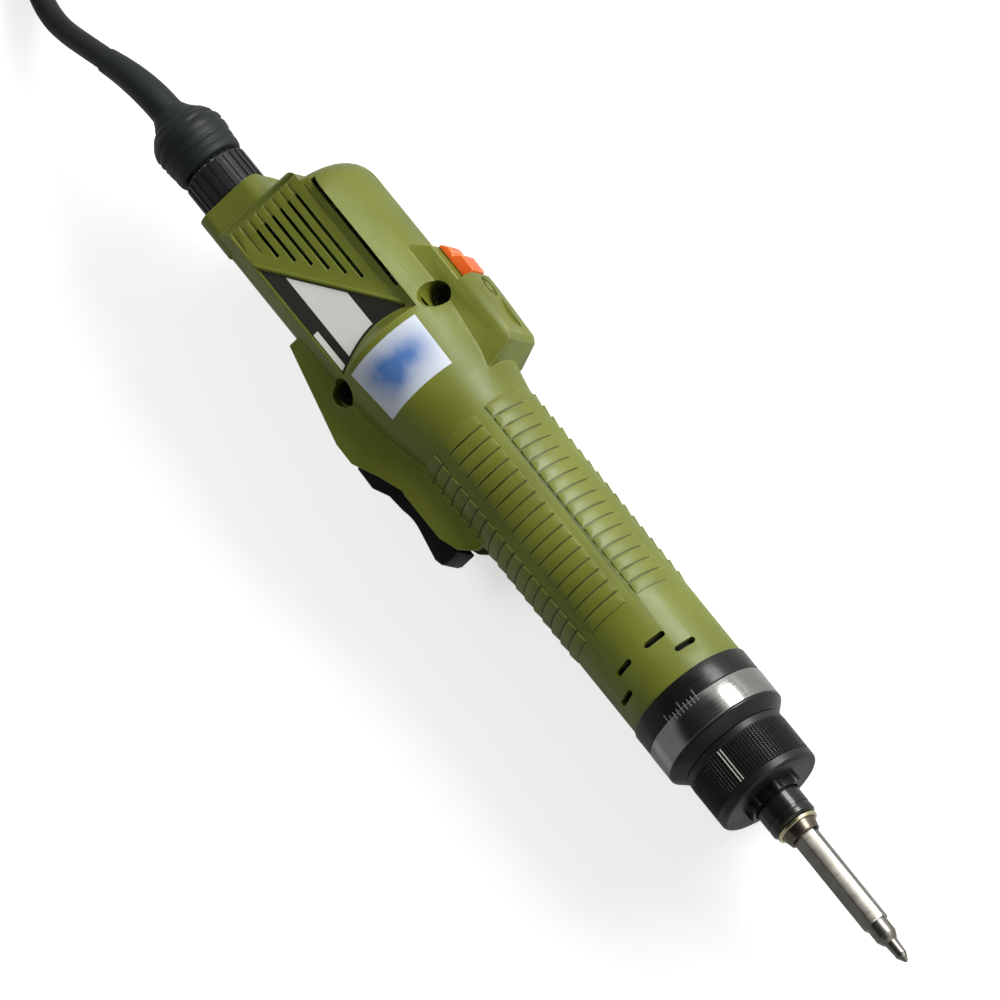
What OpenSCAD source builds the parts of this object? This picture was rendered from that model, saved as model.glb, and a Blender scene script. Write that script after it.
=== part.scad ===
// Electric torque screwdriver with a lever start, a cam clutch set by a nose
// ring, a quick-change hex chuck and a plugged-in supply lead.
// The tool lies on its side: +X points along its axis to the bit, +Y to the
// slide switch and +Z up out of the visible half of the housing.

/* [Housing] */
// Radius of the grip
grip_r = 16.7; // [16.5:0.1:17.4]
// Length of the grip, from its front edge to the step behind the ribs
grip_len = 88; // [84:1:92]
// Radius of the rear body
body_r = 20.6; // [20.2:0.1:21.4]
// Length of the flare between the grip and the rear body
flare_len = 28; // [22:1:30]
// Length of the round rear body behind the flare
body_len = 49; // [47:0.5:53]
// Radius that rounds the rear end of the round body
body_end_r = 8; // [6:0.5:9]
// Length by which the flat rear block stands out behind the round body
block_out = 4; // [3:0.5:6]
// Thickness of the housing wall
wall = 2; // [1.6:0.1:2]
// Height of the flat side panel above the axis
flat_z = 14.5; // [14:0.1:15.5]
// Depth of the label recess in the flat panel
label_recess = 0.5; // [0.3:0.1:0.8]
// Rise per millimetre of the sloped shoulder in front of the flat panel
shoulder_slope = 1.5; // [1:0.1:2]

/* [Grip ribs] */
// Pitch of the grip ribs along the axis
rib_pitch = 3.72; // [3.5:0.01:4]
// Number of ribs in each panel
rib_count = 17; // [10:1:19]
// Height of a rib above the grip
rib_h = 0.55; // [0.3:0.05:0.8]
// Width of the groove between two ribs
rib_groove = 0.6; // [0.4:0.1:1]
// Half angle of the middle rib panel
mid_rib_half = 20; // [15:1:24]
// Angle at which a side rib panel starts
side_rib_from = 32; // [28:1:36]
// Angle at which a side rib panel ends
side_rib_to = 73; // [66:1:78]

/* [Vents] */
// Length of a front vent slot round the grip
vent_l = 6.3; // [5:0.1:7]
// Width of a front vent slot
vent_w = 1.6; // [1.2:0.1:2]
// Pitch of the louvres across the flat panel
louvre_pitch = 2.73; // [2.5:0.01:2.9]
// Width of a louvre slot
louvre_w = 0.9; // [0.7:0.1:1.3]
// Number of louvres that go right through the wall
louvre_count = 6; // [4:1:7]
// Depth of the shallow grooves that line up with the louvres
groove_d = 0.4; // [0.3:0.1:0.6]

/* [Switch pod] */
// Height of the pod above the tool axis
pod_h = 26.2; // [25.8:0.1:27]
// Height of the low deck under the knob
pod_deck_h = 23; // [22.6:0.1:23.4]
// Half width of the pod
pod_half_w = 9; // [8.6:0.1:10]
// Travel of the switch knob
knob_travel = 4; // [3:0.5:4]
// Height of the switch knob above its deck
knob_h = 3.4; // [2.5:0.1:4]
// Length of the switch knob
knob_l = 11; // [10:0.5:11]

/* [Lever] */
// Half width of the start lever
lever_half_w = 5.3; // [4:0.1:5.5]
// Clearance at each side of the lever
lever_side_gap = 0.6; // [0.4:0.1:1]
// Thickness of the guard wall beside the lever
guard_wall = 2.3; // [2:0.1:3]
// Radius of the lever pin
lever_pin_r = 1.5; // [1:0.1:1.6]
// Distance from the lever's crest to the tool axis
lever_crest = 29; // [28.8:0.1:29.6]
// Mean radius of the lever spring
lever_spring_r = 2.2; // [1.8:0.1:2.4]

/* [Nose] */
// Radius of the black nose collar
collar_r = 17.2; // [17:0.1:17.4]
// Length of the black nose collar
collar_len = 6.5; // [5:0.5:8]
// Radius of the chromed barrel
barrel_r = 17.3; // [17.1:0.1:17.5]
// Length of the round part of the chromed barrel
barrel_len = 8.5; // [7:0.5:10]
// Length of the barrel's front taper
barrel_taper = 3; // [2:0.5:3.5]
// Radius of the torque ring
ring_r = 14.5; // [14.2:0.1:14.8]
// Length of the torque ring
ring_len = 15.3; // [14:0.1:18]
// Thickness of the torque ring's front wall
ring_front = 3; // [2:0.5:4]
// Number of fine ribs round the torque ring
ring_ribs = 72; // [36:2:84]
// Depth of the torque ring's ribs
ring_rib_d = 0.3; // [0.2:0.05:0.4]
// Travel of the torque ring along the axis
ring_travel = 2; // [1:0.1:2]
// Radius of the threaded tube that carries the ring
tube_r = 12.5; // [12.3:0.1:12.6]
// Thickness of the threaded tube
tube_wall = 1; // [0.8:0.1:1.1]
// Length of the lobed hub on the torque ring
hub_len = 2.5; // [2:0.1:3]
// Radius over the lobes of the hub
hub_r = 8.3; // [8:0.1:9]

/* [Clutch] */
// Radius of the clutch plates
cam_r = 12.2; // [11.5:0.1:12.3]
// Thickness of the driving clutch plate
driver_t = 6.2; // [5:0.1:6.5]
// Thickness of the driven clutch plate
driven_t = 6.6; // [6:0.1:7]
// Radius of a clutch ball
ball_r = 1.75; // [1.5:0.05:1.9]
// Radius of the circle of clutch balls
ball_circle_r = 9; // [8:0.1:9.6]
// Number of clutch balls
ball_count = 6; // [3:1:8]
// Wire radius of the clutch spring
spring_wire_r = 1; // [0.8:0.05:1]
// Mean radius of the clutch spring
spring_r = 9.8; // [9:0.1:10]
// Turns of the clutch spring
spring_turns = 6; // [4:1:7]

/* [Gearbox] */
// Gear module
gear_mod = 0.6; // [0.58:0.01:0.62]
// Teeth of the sun gear
sun_teeth = 12; // [12:1:12]
// Teeth of a planet gear
planet_teeth = 15; // [15:1:15]
// Length of the gear teeth
gear_w = 8; // [6:0.5:8]
// Backlash, taken off each tooth's thickness
backlash = 0.08; // [0.06:0.01:0.12]
// Thickness of the carrier plate
carrier_t = 4; // [3:0.5:4]
// Radius of a planet pin
planet_pin_r = 1.2; // [1:0.05:1.5]
// Radius of the carrier's output shaft
carrier_shaft_r = 4; // [3.5:0.1:4.4]
// Width of the carrier bearing
bearing_w = 4; // [3:0.5:4]
// Outer radius of the carrier bearing
bearing_r = 7; // [6.5:0.1:8]

/* [Motor] */
// Radius of the motor can
motor_r = 13.85; // [13:0.05:14.2]
// Length of the motor can
motor_len = 44; // [38:1:46]
// Radius of the motor shaft
shaft_r = 1.15; // [1:0.05:1.2]

/* [Spindle, chuck and bit] */
// Radius of the spindle
spindle_r = 4.9; // [4.8:0.05:5]
// Width across flats of the bit
hex_af = 6.35; // [6.35:0.01:6.35]
// Clearance across flats between the bit and its socket
hex_gap = 0.1; // [0.06:0.02:0.2]
// Depth of the hex socket
socket_depth = 19.5; // [18:0.5:21]
// Outer radius of the chuck sleeve
sleeve_r = 6.3; // [6.2:0.05:6.5]
// Length of the chuck sleeve
sleeve_len = 8.8; // [8.6:0.1:9]
// Travel of the chuck sleeve
sleeve_travel = 3; // [2:0.1:3]
// Wire radius of the chuck spring
chuck_wire_r = 0.25; // [0.2:0.01:0.28]
// Radius of a chuck ball
chuck_ball_r = 1.25; // [1.1:0.05:1.3]
// Length of bit that shows in front of the chuck, hex part only
bit_hex_out = 29.2; // [20:0.1:40]
// Length of the bit's round neck
bit_neck_len = 6; // [4:0.5:8]
// Radius of the bit's neck
bit_neck_r = 2.9; // [2.7:0.05:3]
// Length of the bit's cross point
bit_tip_len = 6.4; // [5:0.1:8]
// Radius of the bit behind its cross point
bit_tip_r = 1.75; // [1.5:0.05:2]

/* [Connector and lead] */
// Distance from the connector's axis to the tool axis
conn_off = 10.3; // [10:0.1:10.6]
// Half width of the connector boss
boss_half_w = 9.6; // [9.2:0.1:9.7]
// Half height of the connector boss
boss_half_h = 11; // [9.5:0.5:12]
// Length of the connector boss behind the flat block
boss_len = 6.5; // [5:0.5:8]
// Radius of the socket body
socket_r = 7.2; // [7:0.1:7.4]
// Radius of the coupling nut
nut_r = 8.8; // [8.4:0.1:9]
// Length of the coupling nut
nut_len = 11; // [9:0.5:12]
// Number of ribs round the coupling nut
nut_ribs = 24; // [16:2:30]
// Largest radius of the rubber boot
boot_r = 10; // [9.6:0.1:10.4]
// Length of the boot's bulb
boot_len = 18; // [17:0.5:19]
// Diameter of the supply cord
cord_d = 6; // [6:0.1:6]
// Number of contacts in the connector
contact_count = 6; // [4:1:6]

/* [Fits] */
// Clearance of a shaft in its bore
run_fit = 0.05; // [0.02:0.01:0.08]
// Clearance between pieces that are put together by hand
seat_gap = 0.05; // [0.02:0.01:0.1]
// Gap between faces that pass each other
free_gap = 0.3; // [0.3:0.05:0.4]

/* [Hidden] */
$fn = 64;
eps = 0.01;

// Stations along the tool axis, from the housing's front edge at 0
flare_rear = -grip_len - flare_len;
body_rear = flare_rear - body_len;
block_rear = body_rear - block_out;
boss_rear = block_rear - boss_len;
nut_front = boss_rear - 0.4;
nut_rear = nut_front - nut_len;
plug_rear = nut_rear + 0.05;
boot_rear = nut_rear - boot_len;
barrel_end = collar_len + barrel_len;
tube_front = barrel_end + barrel_taper + ring_len - ring_front - 0.2;
ring_rear = barrel_end + barrel_taper + 0.2;
ring_end = ring_rear + ring_len;
hub_end = ring_end + hub_len;
sleeve_rear = hub_end - 1;
sleeve_end = sleeve_rear + sleeve_len;
snap_x = sleeve_end + 0.2;
snap_w = 1;
mouth_x = snap_x + snap_w + 2.8;
bit_rear = mouth_x - socket_depth + 0.5;
bit_hex_end = mouth_x + bit_hex_out;
bit_end = bit_hex_end + bit_neck_len + bit_tip_len;

// Gear train
ring_teeth = sun_teeth + 2 * planet_teeth;
gear_centre = gear_mod * (sun_teeth + planet_teeth) / 2;
cam_front = 2.2;
driven_rear = cam_front - driven_t;
ball_x = driven_rear - 0.7;
driver_front = ball_x - 0.7;
driver_rear = driver_front - driver_t;
case_front = driver_rear - 0.4;
case_r = grip_r - wall - free_gap;
case_wall = 6;
bearing_x = case_front - 1 - bearing_w;
carrier_front = case_front - case_wall - 1.5;
carrier_rear = carrier_front - carrier_t;
gear_front = carrier_rear - 0.5;
gear_rear = gear_front - gear_w;
case_rear = gear_rear - 1.5;
plate_t = 2;
motor_front = case_rear - plate_t;
motor_rear = motor_front - motor_len;
motor_cap_len = 6;

// Place of the tool's axis in the part's frame: the origin is the bottom centre
// of the box round the tool without its cord
tool_x = -(bit_end + nut_rear) / 2;
tool_y = (lever_crest - max(pod_h, pod_deck_h + knob_h)) / 2;
tool_z = body_r;

green = "olivedrab";
black = [0.12, 0.12, 0.13];
steel = [0.72, 0.73, 0.75];

// ---------------------------------------------------------------- helpers

// Places children that are drawn on the tool axis into the part's frame
module on_tool() {
  translate([tool_x, tool_y, tool_z])
    children();
}

// Turns what is drawn along Z so that it lies along the tool axis
module along_x() {
  rotate([0, 90, 0])
    children();
}

// Round bar on the tool axis
module bar(from, to, r, r2 = -1) {
  translate([from, 0, 0])
    along_x()
      cylinder(h = to - from, r1 = r, r2 = r2 < 0 ? r : r2);
}

// Tube on the tool axis
module tube(from, to, r, bore) {
  difference() {
    bar(from, to, r);
    bar(from - 1, to + 1, bore);
  }
}

// Solid turned from a profile of [radius, station] points
module turned(profile) {
  along_x()
    rotate_extrude()
      polygon(profile);
}

// Outline in the XY plane, given a thickness both ways from the parting plane
module slab(half, outline) {
  translate([0, 0, -half])
    linear_extrude(2 * half)
      polygon(outline);
}

// Box from its two corners
module block(low, high) {
  translate(low)
    cube(high - low);
}

// Rectangle with round corners
module round_rect(w, h, r) {
  square([w - 2 * r, h], center = true);
  square([w, h - 2 * r], center = true);
  for (sx = [-1, 1], sy = [-1, 1])
    translate([sx * (w / 2 - r), sy * (h / 2 - r)])
      circle(r);
}

// Points of an arc, from angle a to angle b
function arc(c, r, a, b, n = 8) =
  [for (i = [0:n]) let (t = a + (b - a) * i / n) c + r * [cos(t), sin(t)]];

function unit(v) = v / norm(v);

// Direction of a path at its point i
function heading(p, i) =
  unit(p[min(i + 1, len(p) - 1)] - p[max(i - 1, 0)]);

// Tube swept along a path, with one radius for each point
module swept(path, radii, sides) {
  n = len(path);
  rings = [
    for (i = [0:n - 1])
      let (
        d = heading(path, i),
        side = unit(cross(d, [0.05, 0.02, 1])),
        up = cross(side, d)
      )
      for (k = [0:sides - 1])
        let (a = 360 * k / sides)
          path[i] + radii[i] * (cos(a) * side + sin(a) * up)
  ];
  walls = [
    for (i = [0:n - 2], k = [0:sides - 1])
      let (m = (k + 1) % sides, low = i * sides, high = low + sides)
        for (f = [[low + k, high + k, high + m], [low + k, high + m, low + m]])
          f
  ];
  ends = [
    [for (k = [0:sides - 1]) k],
    [for (k = [sides - 1:-1:0]) (n - 1) * sides + k]
  ];
  polyhedron(rings, concat(walls, ends), convexity = 10);
}

// Coil spring along X, from one end station to the other
module coil_spring(from, to, r, wire_r, turns, per_turn = 14, sides = 6) {
  steps = turns * per_turn;
  first = from + wire_r;
  rise = to - from - 2 * wire_r;
  path = [
    for (i = [0:steps])
      let (a = 360 * i / per_turn)
        [first + rise * i / steps, r * cos(a), r * sin(a)]
  ];
  swept(path, [for (p = path) wire_r], sides);
}

// Gear tooth geometry: the involute's polar angle at radius r
function inv_at(r, base) = let (a = acos(min(1, base / r))) tan(a) * 180 / PI - a;

// Half angle of a tooth at radius r; thin is taken off its thickness
function tooth_half(teeth, r, thin) =
  let (
    pitch = gear_mod * teeth / 2,
    base = pitch * cos(20)
  )
  90 / teeth - thin / pitch * 90 / PI
  + inv_at(pitch, base) - inv_at(max(r, base), base);

// Outline of a gear with its first tooth centred on angle start
function gear_outline(teeth, root, tip, thin, start) =
  let (radii = [for (i = [0:3]) root + (tip - root) * i / 3])
  [
    for (t = [0:teeth - 1])
      let (mid = start + 360 * t / teeth)
        for (p = concat(
          [for (r = radii) [r, -tooth_half(teeth, r, thin)]],
          [for (i = [3:-1:0]) [radii[i], tooth_half(teeth, radii[i], thin)]]
        ))
          p[0] * [cos(mid + p[1]), sin(mid + p[1])]
  ];

module spur_gear(teeth, width, start) {
  pitch = gear_mod * teeth / 2;
  along_x()
    linear_extrude(width)
      polygon(gear_outline(
        teeth, pitch - 1.2 * gear_mod, pitch + 0.92 * gear_mod, backlash, start
      ));
}

// ---------------------------------------------------------------- housing

// Radius of the round body at the flare's two ends, and its rear rounding
function body_profile(off) = concat(
  [
    [0, eps],
    [grip_r - off, eps],
    [grip_r - off, -grip_len],
    [(grip_r + body_r) / 2 + 0.6 - off, -grip_len - flare_len * 0.45],
    [body_r - off, flare_rear]
  ],
  [
    for (p = arc([body_r - body_end_r, body_rear + body_end_r], body_end_r - off, 0, -90))
      p
  ],
  [[0, body_rear + off]]
);

// Solid sector round the tool axis, between two angles from +Z towards +Y
module sector(from_a, to_a, x0, x1) {
  reach = 30;
  steps = 4;
  translate([x0, 0, 0])
    rotate([90, 0, 90])
      linear_extrude(x1 - x0)
        polygon(concat([[0, 0]], [
          for (i = [0:steps])
            let (a = from_a + (to_a - from_a) * i / steps)
              reach * [sin(a), cos(a)]
        ]));
}

// Raised ribs round the whole grip, cut to panels by sectors
module rib_panels() {
  first = -grip_len + 1.2;
  rib_w = rib_pitch - rib_groove;
  low_r = grip_r - 0.6;
  points = [
    for (i = [0:rib_count - 1])
      let (x = first + i * rib_pitch)
        for (p = [
          [low_r, x], [grip_r + rib_h, x], [grip_r + 0.15, x + rib_w], [low_r, x + rib_w]
        ])
          p
  ];
  x_end = first + rib_count * rib_pitch;
  intersection() {
    turned(concat([[low_r - 0.6, first - eps]], points, [[low_r - 0.6, x_end]]));
    union() {
      for (up = [0, 180])
        rotate([up, 0, 0]) {
          sector(-mid_rib_half, mid_rib_half, -grip_len, 0);
          for (side = [-1, 1])
            sector(side * side_rib_from, side * side_rib_to, -grip_len, 0);
        }
    }
  }
}

// Round-ended slot through the wall, laid round the grip
module vent_slot(x, angle) {
  rotate([-angle, 0, 0])
    translate([x, 0, grip_r - wall - 1])
      linear_extrude(wall + 3)
        union() {
          square([vent_w, vent_l - vent_w], center = true);
          for (side = [-1, 1])
            translate([0, side * (vent_l - vent_w) / 2])
              circle(vent_w / 2, $fn = 24);
        }
}

module front_vents() {
  for (up = [0, 180], side = [-1, 1])
    rotate([up, 0, 0]) {
      vent_slot(-11.8, side * 19);
      vent_slot(-6.3, side * 38);
    }
}

// The rear block's outline seen along Z
module block_plan(off) {
  r = 4;
  y0 = -body_r + 0.3;
  y1 = 8.5;
  polygon(concat(
    arc([block_rear + r, y1 - r], r - off, 90, 180),
    arc([block_rear + r, y0 + r], r - off, 180, 270),
    [[flare_rear - 12, y0 + off], [flare_rear - 12, y1 - off]]
  ));
}

// The rear block's outline seen along Y
module block_side(off) {
  r = 5;
  polygon(concat(
    arc([block_rear + r, flat_z - r], r - off, 90, 180),
    arc([block_rear + r, -flat_z + r], r - off, 180, 270),
    [[flare_rear - 12, -flat_z + off], [flare_rear - 12, flat_z - off]]
  ));
}

module rear_block(off) {
  intersection() {
    translate([0, 0, -body_r])
      linear_extrude(2 * body_r)
        block_plan(off);
    translate([0, body_r + 2, 0])
      rotate([90, 0, 0])
        linear_extrude(2 * body_r + 4)
          block_side(off);
    bar(block_rear - 5, flare_rear, body_r - off);
  }
}

// What is cut away above the flat panel, up to the sloped shoulder
panel_top_y = 12.2;
shoulder_front = flare_rear - 2;
shoulder_rear = shoulder_front - (body_r - flat_z) / shoulder_slope;

module flat_cut(level) {
  difference() {
    block([block_rear - 10, -body_r - 1, level], [shoulder_front, panel_top_y, body_r + 2]);
    turned([
      [0, shoulder_rear - flat_z / shoulder_slope],
      [body_r + 0.5, shoulder_front + 0.5 / shoulder_slope],
      [0, shoulder_front + 10]
    ]);
  }
}

// Corners of the triangular label recess, seen along Z
label_low_y = -14.2;
label_rear_x = block_rear + 14.5;
label_top_y = 9.4;
label_slope = (label_top_y - label_low_y) / (shoulder_rear + 0.8 - label_rear_x);

// Where the shoulder's slope meets the flat panel at height y
function shoulder_foot(y) = shoulder_rear + (norm([y, flat_z]) - flat_z) / shoulder_slope;

// Recess behind the foot of the shoulder
module label_cut() {
  margin = 0.3;
  steps = 8;
  rise = (label_top_y - label_low_y) / steps;
  foot = [
    for (k = [0:steps]) [shoulder_foot(label_low_y + k * rise) - margin, label_low_y + k * rise]
  ];
  translate([0, 0, flat_z - label_recess])
    linear_extrude(label_recess + 0.4)
      polygon(concat(
        [[label_rear_x, label_low_y]],
        foot,
        [[shoulder_rear + 0.8, label_top_y]]
      ));
}

// Raised line that edges the label recess along its diagonal
module label_rim() {
  w = 0.9;
  top = flat_z + 0.45;
  translate([0, 0, flat_z - 1])
    linear_extrude(top - flat_z + 1)
      polygon([
        [label_rear_x - w * 1.6, label_low_y],
        [label_rear_x - 0.2, label_low_y],
        [shoulder_rear + 0.6, label_top_y + 0.1],
        [shoulder_rear + 0.6 - w * 1.4, label_top_y + 0.1]
      ]);
}

// Front end of a louvre at height y on the panel, clear of the label's edge
louvre_gap = 7;
function louvre_front(y) =
  min(label_rear_x + (y - label_low_y) / label_slope - louvre_gap, shoulder_rear - 4);

module louvre(y, depth, w, from) {
  to = louvre_front(y);
  block([from, y - w / 2, flat_z - depth], [to, y + w / 2, flat_z + 1]);
}

// A wide slot along the step, a fine groove, then the even row of louvres,
// of which the lowest two are only grooves
module louvres() {
  slot_w = 1.5;
  rear = block_rear + 7;
  louvre(panel_top_y - slot_w / 2, wall + 1.5, slot_w, rear);
  louvre(panel_top_y - 3.4, groove_d, 0.5, rear);
  for (i = [0:louvre_count + 1]) {
    y = panel_top_y - 6.7 - i * louvre_pitch;
    if (i < louvre_count)
      louvre(y, wall + 1.5, louvre_w, rear);
    louvre(y, groove_d, 0.6, block_rear - 1);
  }
}

// Columns for the two screws that clamp the halves
screw_at = [[flare_rear - 2.5, 16.6], [flare_rear - 0.5, -18.2]];
screw_hole_r = 1.6;
screw_head_r = 2.8;
screw_seat_z = 4.3;

module screw_columns() {
  for (p = screw_at)
    intersection() {
      translate([p[0], p[1], -12])
        cylinder(h = 24, r = 4.6);
      bar(flare_rear - 10, -grip_len, body_r);
    }
}

module screw_holes() {
  for (p = screw_at)
    translate([p[0], p[1], 0]) {
      translate([0, 0, screw_seat_z])
        cylinder(h = 20, r = 3.5);
      translate([0, 0, -10])
        cylinder(h = 20, r = screw_hole_r);
    }
}

// Pod that carries the slide switch
pod_front = -grip_len - 9.5;
deck_front = flare_rear - 2;
pod_rear = deck_front - 15;

module pod_section(off) {
  w = pod_half_w - off;
  h = pod_h - off;
  polygon(concat(
    [[8, -w - 3], [14, -w - 1.6]],
    arc([h - 4.2, -w + 4.2], 4.2, 270, 360, 5),
    arc([h - 4.2, w - 4.2], 4.2, 0, 90, 5),
    [[14, w + 1.6], [8, w + 3]]
  ));
}

module pod_form(off) {
  intersection() {
    translate([pod_rear - 5, 0, 0])
      rotate([90, 0, 90])
        linear_extrude(pod_front - pod_rear + 10)
          pod_section(off);
    slab(pod_half_w + 4, [
      [pod_rear + off, 8],
      [pod_rear + off, body_r - 1],
      [pod_rear + 3.5, pod_deck_h - off],
      [deck_front, pod_deck_h - off],
      [deck_front, pod_h - off],
      [pod_front - 1.5, pod_h - 1.2 - off],
      [pod_front - off, pod_h - 2.4 - off],
      [pod_front + 2.2 - off, grip_r],
      [pod_front + 2.2 - off, 8]
    ]);
  }
}

// Shallow thumb dish in the pod's top
module pod_dish() {
  dish_r = 12;
  translate([pod_front - 8, pod_h + dish_r - 1.9, -3.4])
    cylinder(h = 6.8, r = dish_r);
  translate([deck_front + 4, pod_h - 0.9, 0])
    rotate([-90, 0, 0])
      difference() {
        cylinder(h = 3, r = 3);
        translate([0, 0, -0.5])
          cylinder(h = 1.2, r = 1.6);
      }
}

// Knob and its stem
knob_front = deck_front - 0.6;
stem_w = 3;
stem_l = 3;
stem_x = knob_front - knob_l / 2;
slot_rear = stem_x - stem_l / 2 - knob_travel - 0.5;
slot_front = stem_x + stem_l / 2 + 0.4;
switch_top = sqrt(pow(body_r - wall, 2) - 16) - 0.3;
switch_len = 13;
switch_deep = 5;

module pod_slot() {
  half = stem_w / 2 + 0.4;
  block([slot_rear, switch_top - 2, -half], [slot_front, pod_h + 3, half]);
}

// Body of the slide switch, held in a notch of the front screw column
switch_front = screw_at[0][0] - screw_hole_r - 0.3;

module slide_switch_body(off) {
  block(
    [switch_front - switch_len - off, switch_top - switch_deep - off, -4 - off],
    [switch_front + off, switch_top + off, 4 + off]
  );
}

// Guard that shields the lever's sides and covers its rear
guard_rear = flare_rear - 20;
guard_half = lever_half_w + lever_side_gap + guard_wall;
guard_front = -grip_len + 25;
ridge_x = -grip_len - 14;
ridge_y = -lever_crest + 0.5;

module guard_form() {
  slab(guard_half, concat(
    [
      [guard_rear, -10],
      [guard_rear, -body_r - 1.2],
      [ridge_x - 6.5, ridge_y + 0.1],
      [ridge_x, ridge_y],
      [ridge_x + 7.5, ridge_y + 3.4]
    ],
    [for (p = arc([-grip_len + 2, -18.4], 4.6, 250, 270, 3)) p],
    [
      [guard_front - 9, -23],
      [guard_front - 3.5, -21.2],
      [guard_front, -17.6],
      [guard_front + 1, -10]
    ]
  ));
}

// Space for the lever between the guard's walls
pocket_rear = ridge_x - 11.2;

module lever_channel() {
  slab(lever_half_w + lever_side_gap, [
    [pocket_rear, -12],
    [pocket_rear, ridge_y + 3],
    [ridge_x - 6, ridge_y + 2],
    [ridge_x - 1, ridge_y + 2],
    [ridge_x - 1, ridge_y - 3],
    [guard_front + 3, ridge_y - 3],
    [guard_front + 3, -12]
  ]);
}

// Slot through the wall for the hidden rear arm of the lever
module lever_pocket() {
  slab(lever_half_w + lever_side_gap, [
    [pocket_rear, -17.8],
    [pocket_rear, ridge_y + 3],
    [ridge_x - 6, ridge_y + 2],
    [ridge_x + 4, ridge_y + 2],
    [ridge_x + 4, -17.8]
  ]);
}

lever_pin_at = [pocket_rear + 3.2, -21];
nub_x = -grip_len - 15;

// Opening in the wall through which the lever reaches the start switch
module nub_window() {
  block([nub_x - 2.5, -20, -2.4], [nub_x + 2.5, -12, 2.4]);
}

// Connector boss at the rear
module boss_form() {
  translate([boss_rear, -conn_off, 0])
    rotate([90, 0, 90])
      linear_extrude(12)
        round_rect(2 * boss_half_w, 2 * boss_half_h, 4);
}

module boss_bore() {
  translate([0, -conn_off, 0])
    bar(boss_rear - 1, block_rear + 10, socket_r + seat_gap);
}

module housing_outside() {
  difference() {
    union() {
      turned(body_profile(0));
      rib_panels();
      rear_block(0);
      boss_form();
      pod_form(0);
      difference() {
        guard_form();
        lever_channel();
      }
    }
    for (up = [0, 180])
      rotate([up, 0, 0])
        mirror([0, up == 0 ? 0 : 1, 0])
          union() {
            flat_cut(flat_z);
            louvres();
          }
    label_cut();
    pod_dish();
  }
  label_rim();
}

module housing_inside() {
  difference() {
    union() {
      turned(body_profile(wall));
      bar(-5, 1, grip_r - wall);
      rear_block(wall);
    }
    for (up = [-1, 1])
      translate([0, 0, up * (flat_z - wall + 20)])
        block([block_rear - 2, -body_r, -20], [shoulder_front + 2, panel_top_y + 1.5, 20]);
    screw_columns();
  }
}

module whole_housing() {
  difference() {
    housing_outside();
    housing_inside();
    screw_holes();
    front_vents();
    pod_slot();
    slide_switch_body(0.1);
    lever_pocket();
    nub_window();
    boss_bore();
    translate([lever_pin_at[0], lever_pin_at[1], -guard_half + 1])
      cylinder(h = 2 * guard_half - 2, r = lever_pin_r + seat_gap);
  }
}

module upper_housing() {
  color(green)
    on_tool()
      intersection() {
        whole_housing();
        block([boss_rear - 5, -40, 0], [10, 40, 40]);
      }
}

module lower_housing() {
  color(green)
    on_tool()
      intersection() {
        whole_housing();
        block([boss_rear - 5, -40, -40], [10, 40, 0]);
      }
}

module housing_screws() {
  color(steel)
    on_tool()
      for (p = screw_at)
        translate([p[0], p[1], 0]) {
          translate([0, 0, -9])
            cylinder(h = screw_seat_z + 9.1, r = screw_hole_r - seat_gap);
          difference() {
            translate([0, 0, screw_seat_z + eps])
              cylinder(h = 2, r1 = screw_head_r, r2 = screw_head_r - 0.5);
            for (a = [0, 90])
              rotate([0, 0, a])
                translate([-1.6, -0.3, screw_seat_z + 1])
                  cube([3.2, 0.6, 2]);
          }
        }
}

// ---------------------------------------------------------------- nose

module nose_collar() {
  bore = cam_r + 0.6;
  color(black)
    on_tool()
      difference() {
        union() {
          turned([
            [0, 0.02], [collar_r - 0.4, 0.02], [collar_r, 0.4],
            [collar_r, collar_len - 0.3], [collar_r - 0.3, collar_len], [0, collar_len]
          ]);
          bar(case_front + seat_gap, 0.1, grip_r - wall - 0.1);
        }
        bar(case_front - 1, collar_len + 1, bore);
      }
}

module torque_barrel() {
  tube_in = tube_r - tube_wall;
  color("gainsboro")
    on_tool()
      turned(concat(
        [
          [tube_in, collar_len + 0.02],
          [barrel_r - 0.4, collar_len + 0.02],
          [barrel_r, collar_len + 0.4],
          [barrel_r, barrel_end],
          [ring_r - 0.2, barrel_end + barrel_taper],
          [tube_r, barrel_end + barrel_taper],
          [tube_r, tube_front],
          [tube_in, tube_front]
        ]
      ));
}

// Knurled ring: smooth bands at both ends and a ribbed band between them
ring_bore = tube_r + 0.4;
rib_from = ring_rear + 2;
rib_to = ring_end - 3;

module torque_ring() {
  color(black)
    on_tool()
      difference() {
        union() {
          turned(concat(
            [
              [0, ring_rear],
              [ring_r - 0.5, ring_rear],
              [ring_r - 0.1, ring_rear + 0.4],
              [ring_r - 0.1, rib_from],
              [ring_r - ring_rib_d, rib_from],
              [ring_r - ring_rib_d, rib_to],
              [ring_r, rib_to]
            ],
            arc([ring_r - 1.2, ring_end - 1.2], 1.2, 0, 90, 5),
            [[0, ring_end]]
          ));
          for (i = [0:ring_ribs - 1])
            rotate([360 * i / ring_ribs, 0, 0])
              translate([rib_from - eps, -0.35, ring_r - 1])
                cube([rib_to - rib_from + 2 * eps, 0.7, 1]);
        }
        bar(ring_rear - 1, ring_end - ring_front, ring_bore);
        bar(ring_rear, ring_end + 1, sleeve_r + free_gap);
      }
}

module ring_hub() {
  lobes = 6;
  lobe_r = 2;
  color(black)
    on_tool()
      difference() {
        translate([ring_end + 0.02, 0, 0])
          along_x()
            linear_extrude(hub_len)
              union() {
                circle(hub_r - 1);
                for (i = [0:lobes - 1])
                  rotate(60 * i + 30)
                    translate([hub_r - lobe_r, 0])
                      circle(lobe_r, $fn = 32);
              }
        bar(ring_end - 1, hub_end + 1, sleeve_r + free_gap);
      }
}

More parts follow.
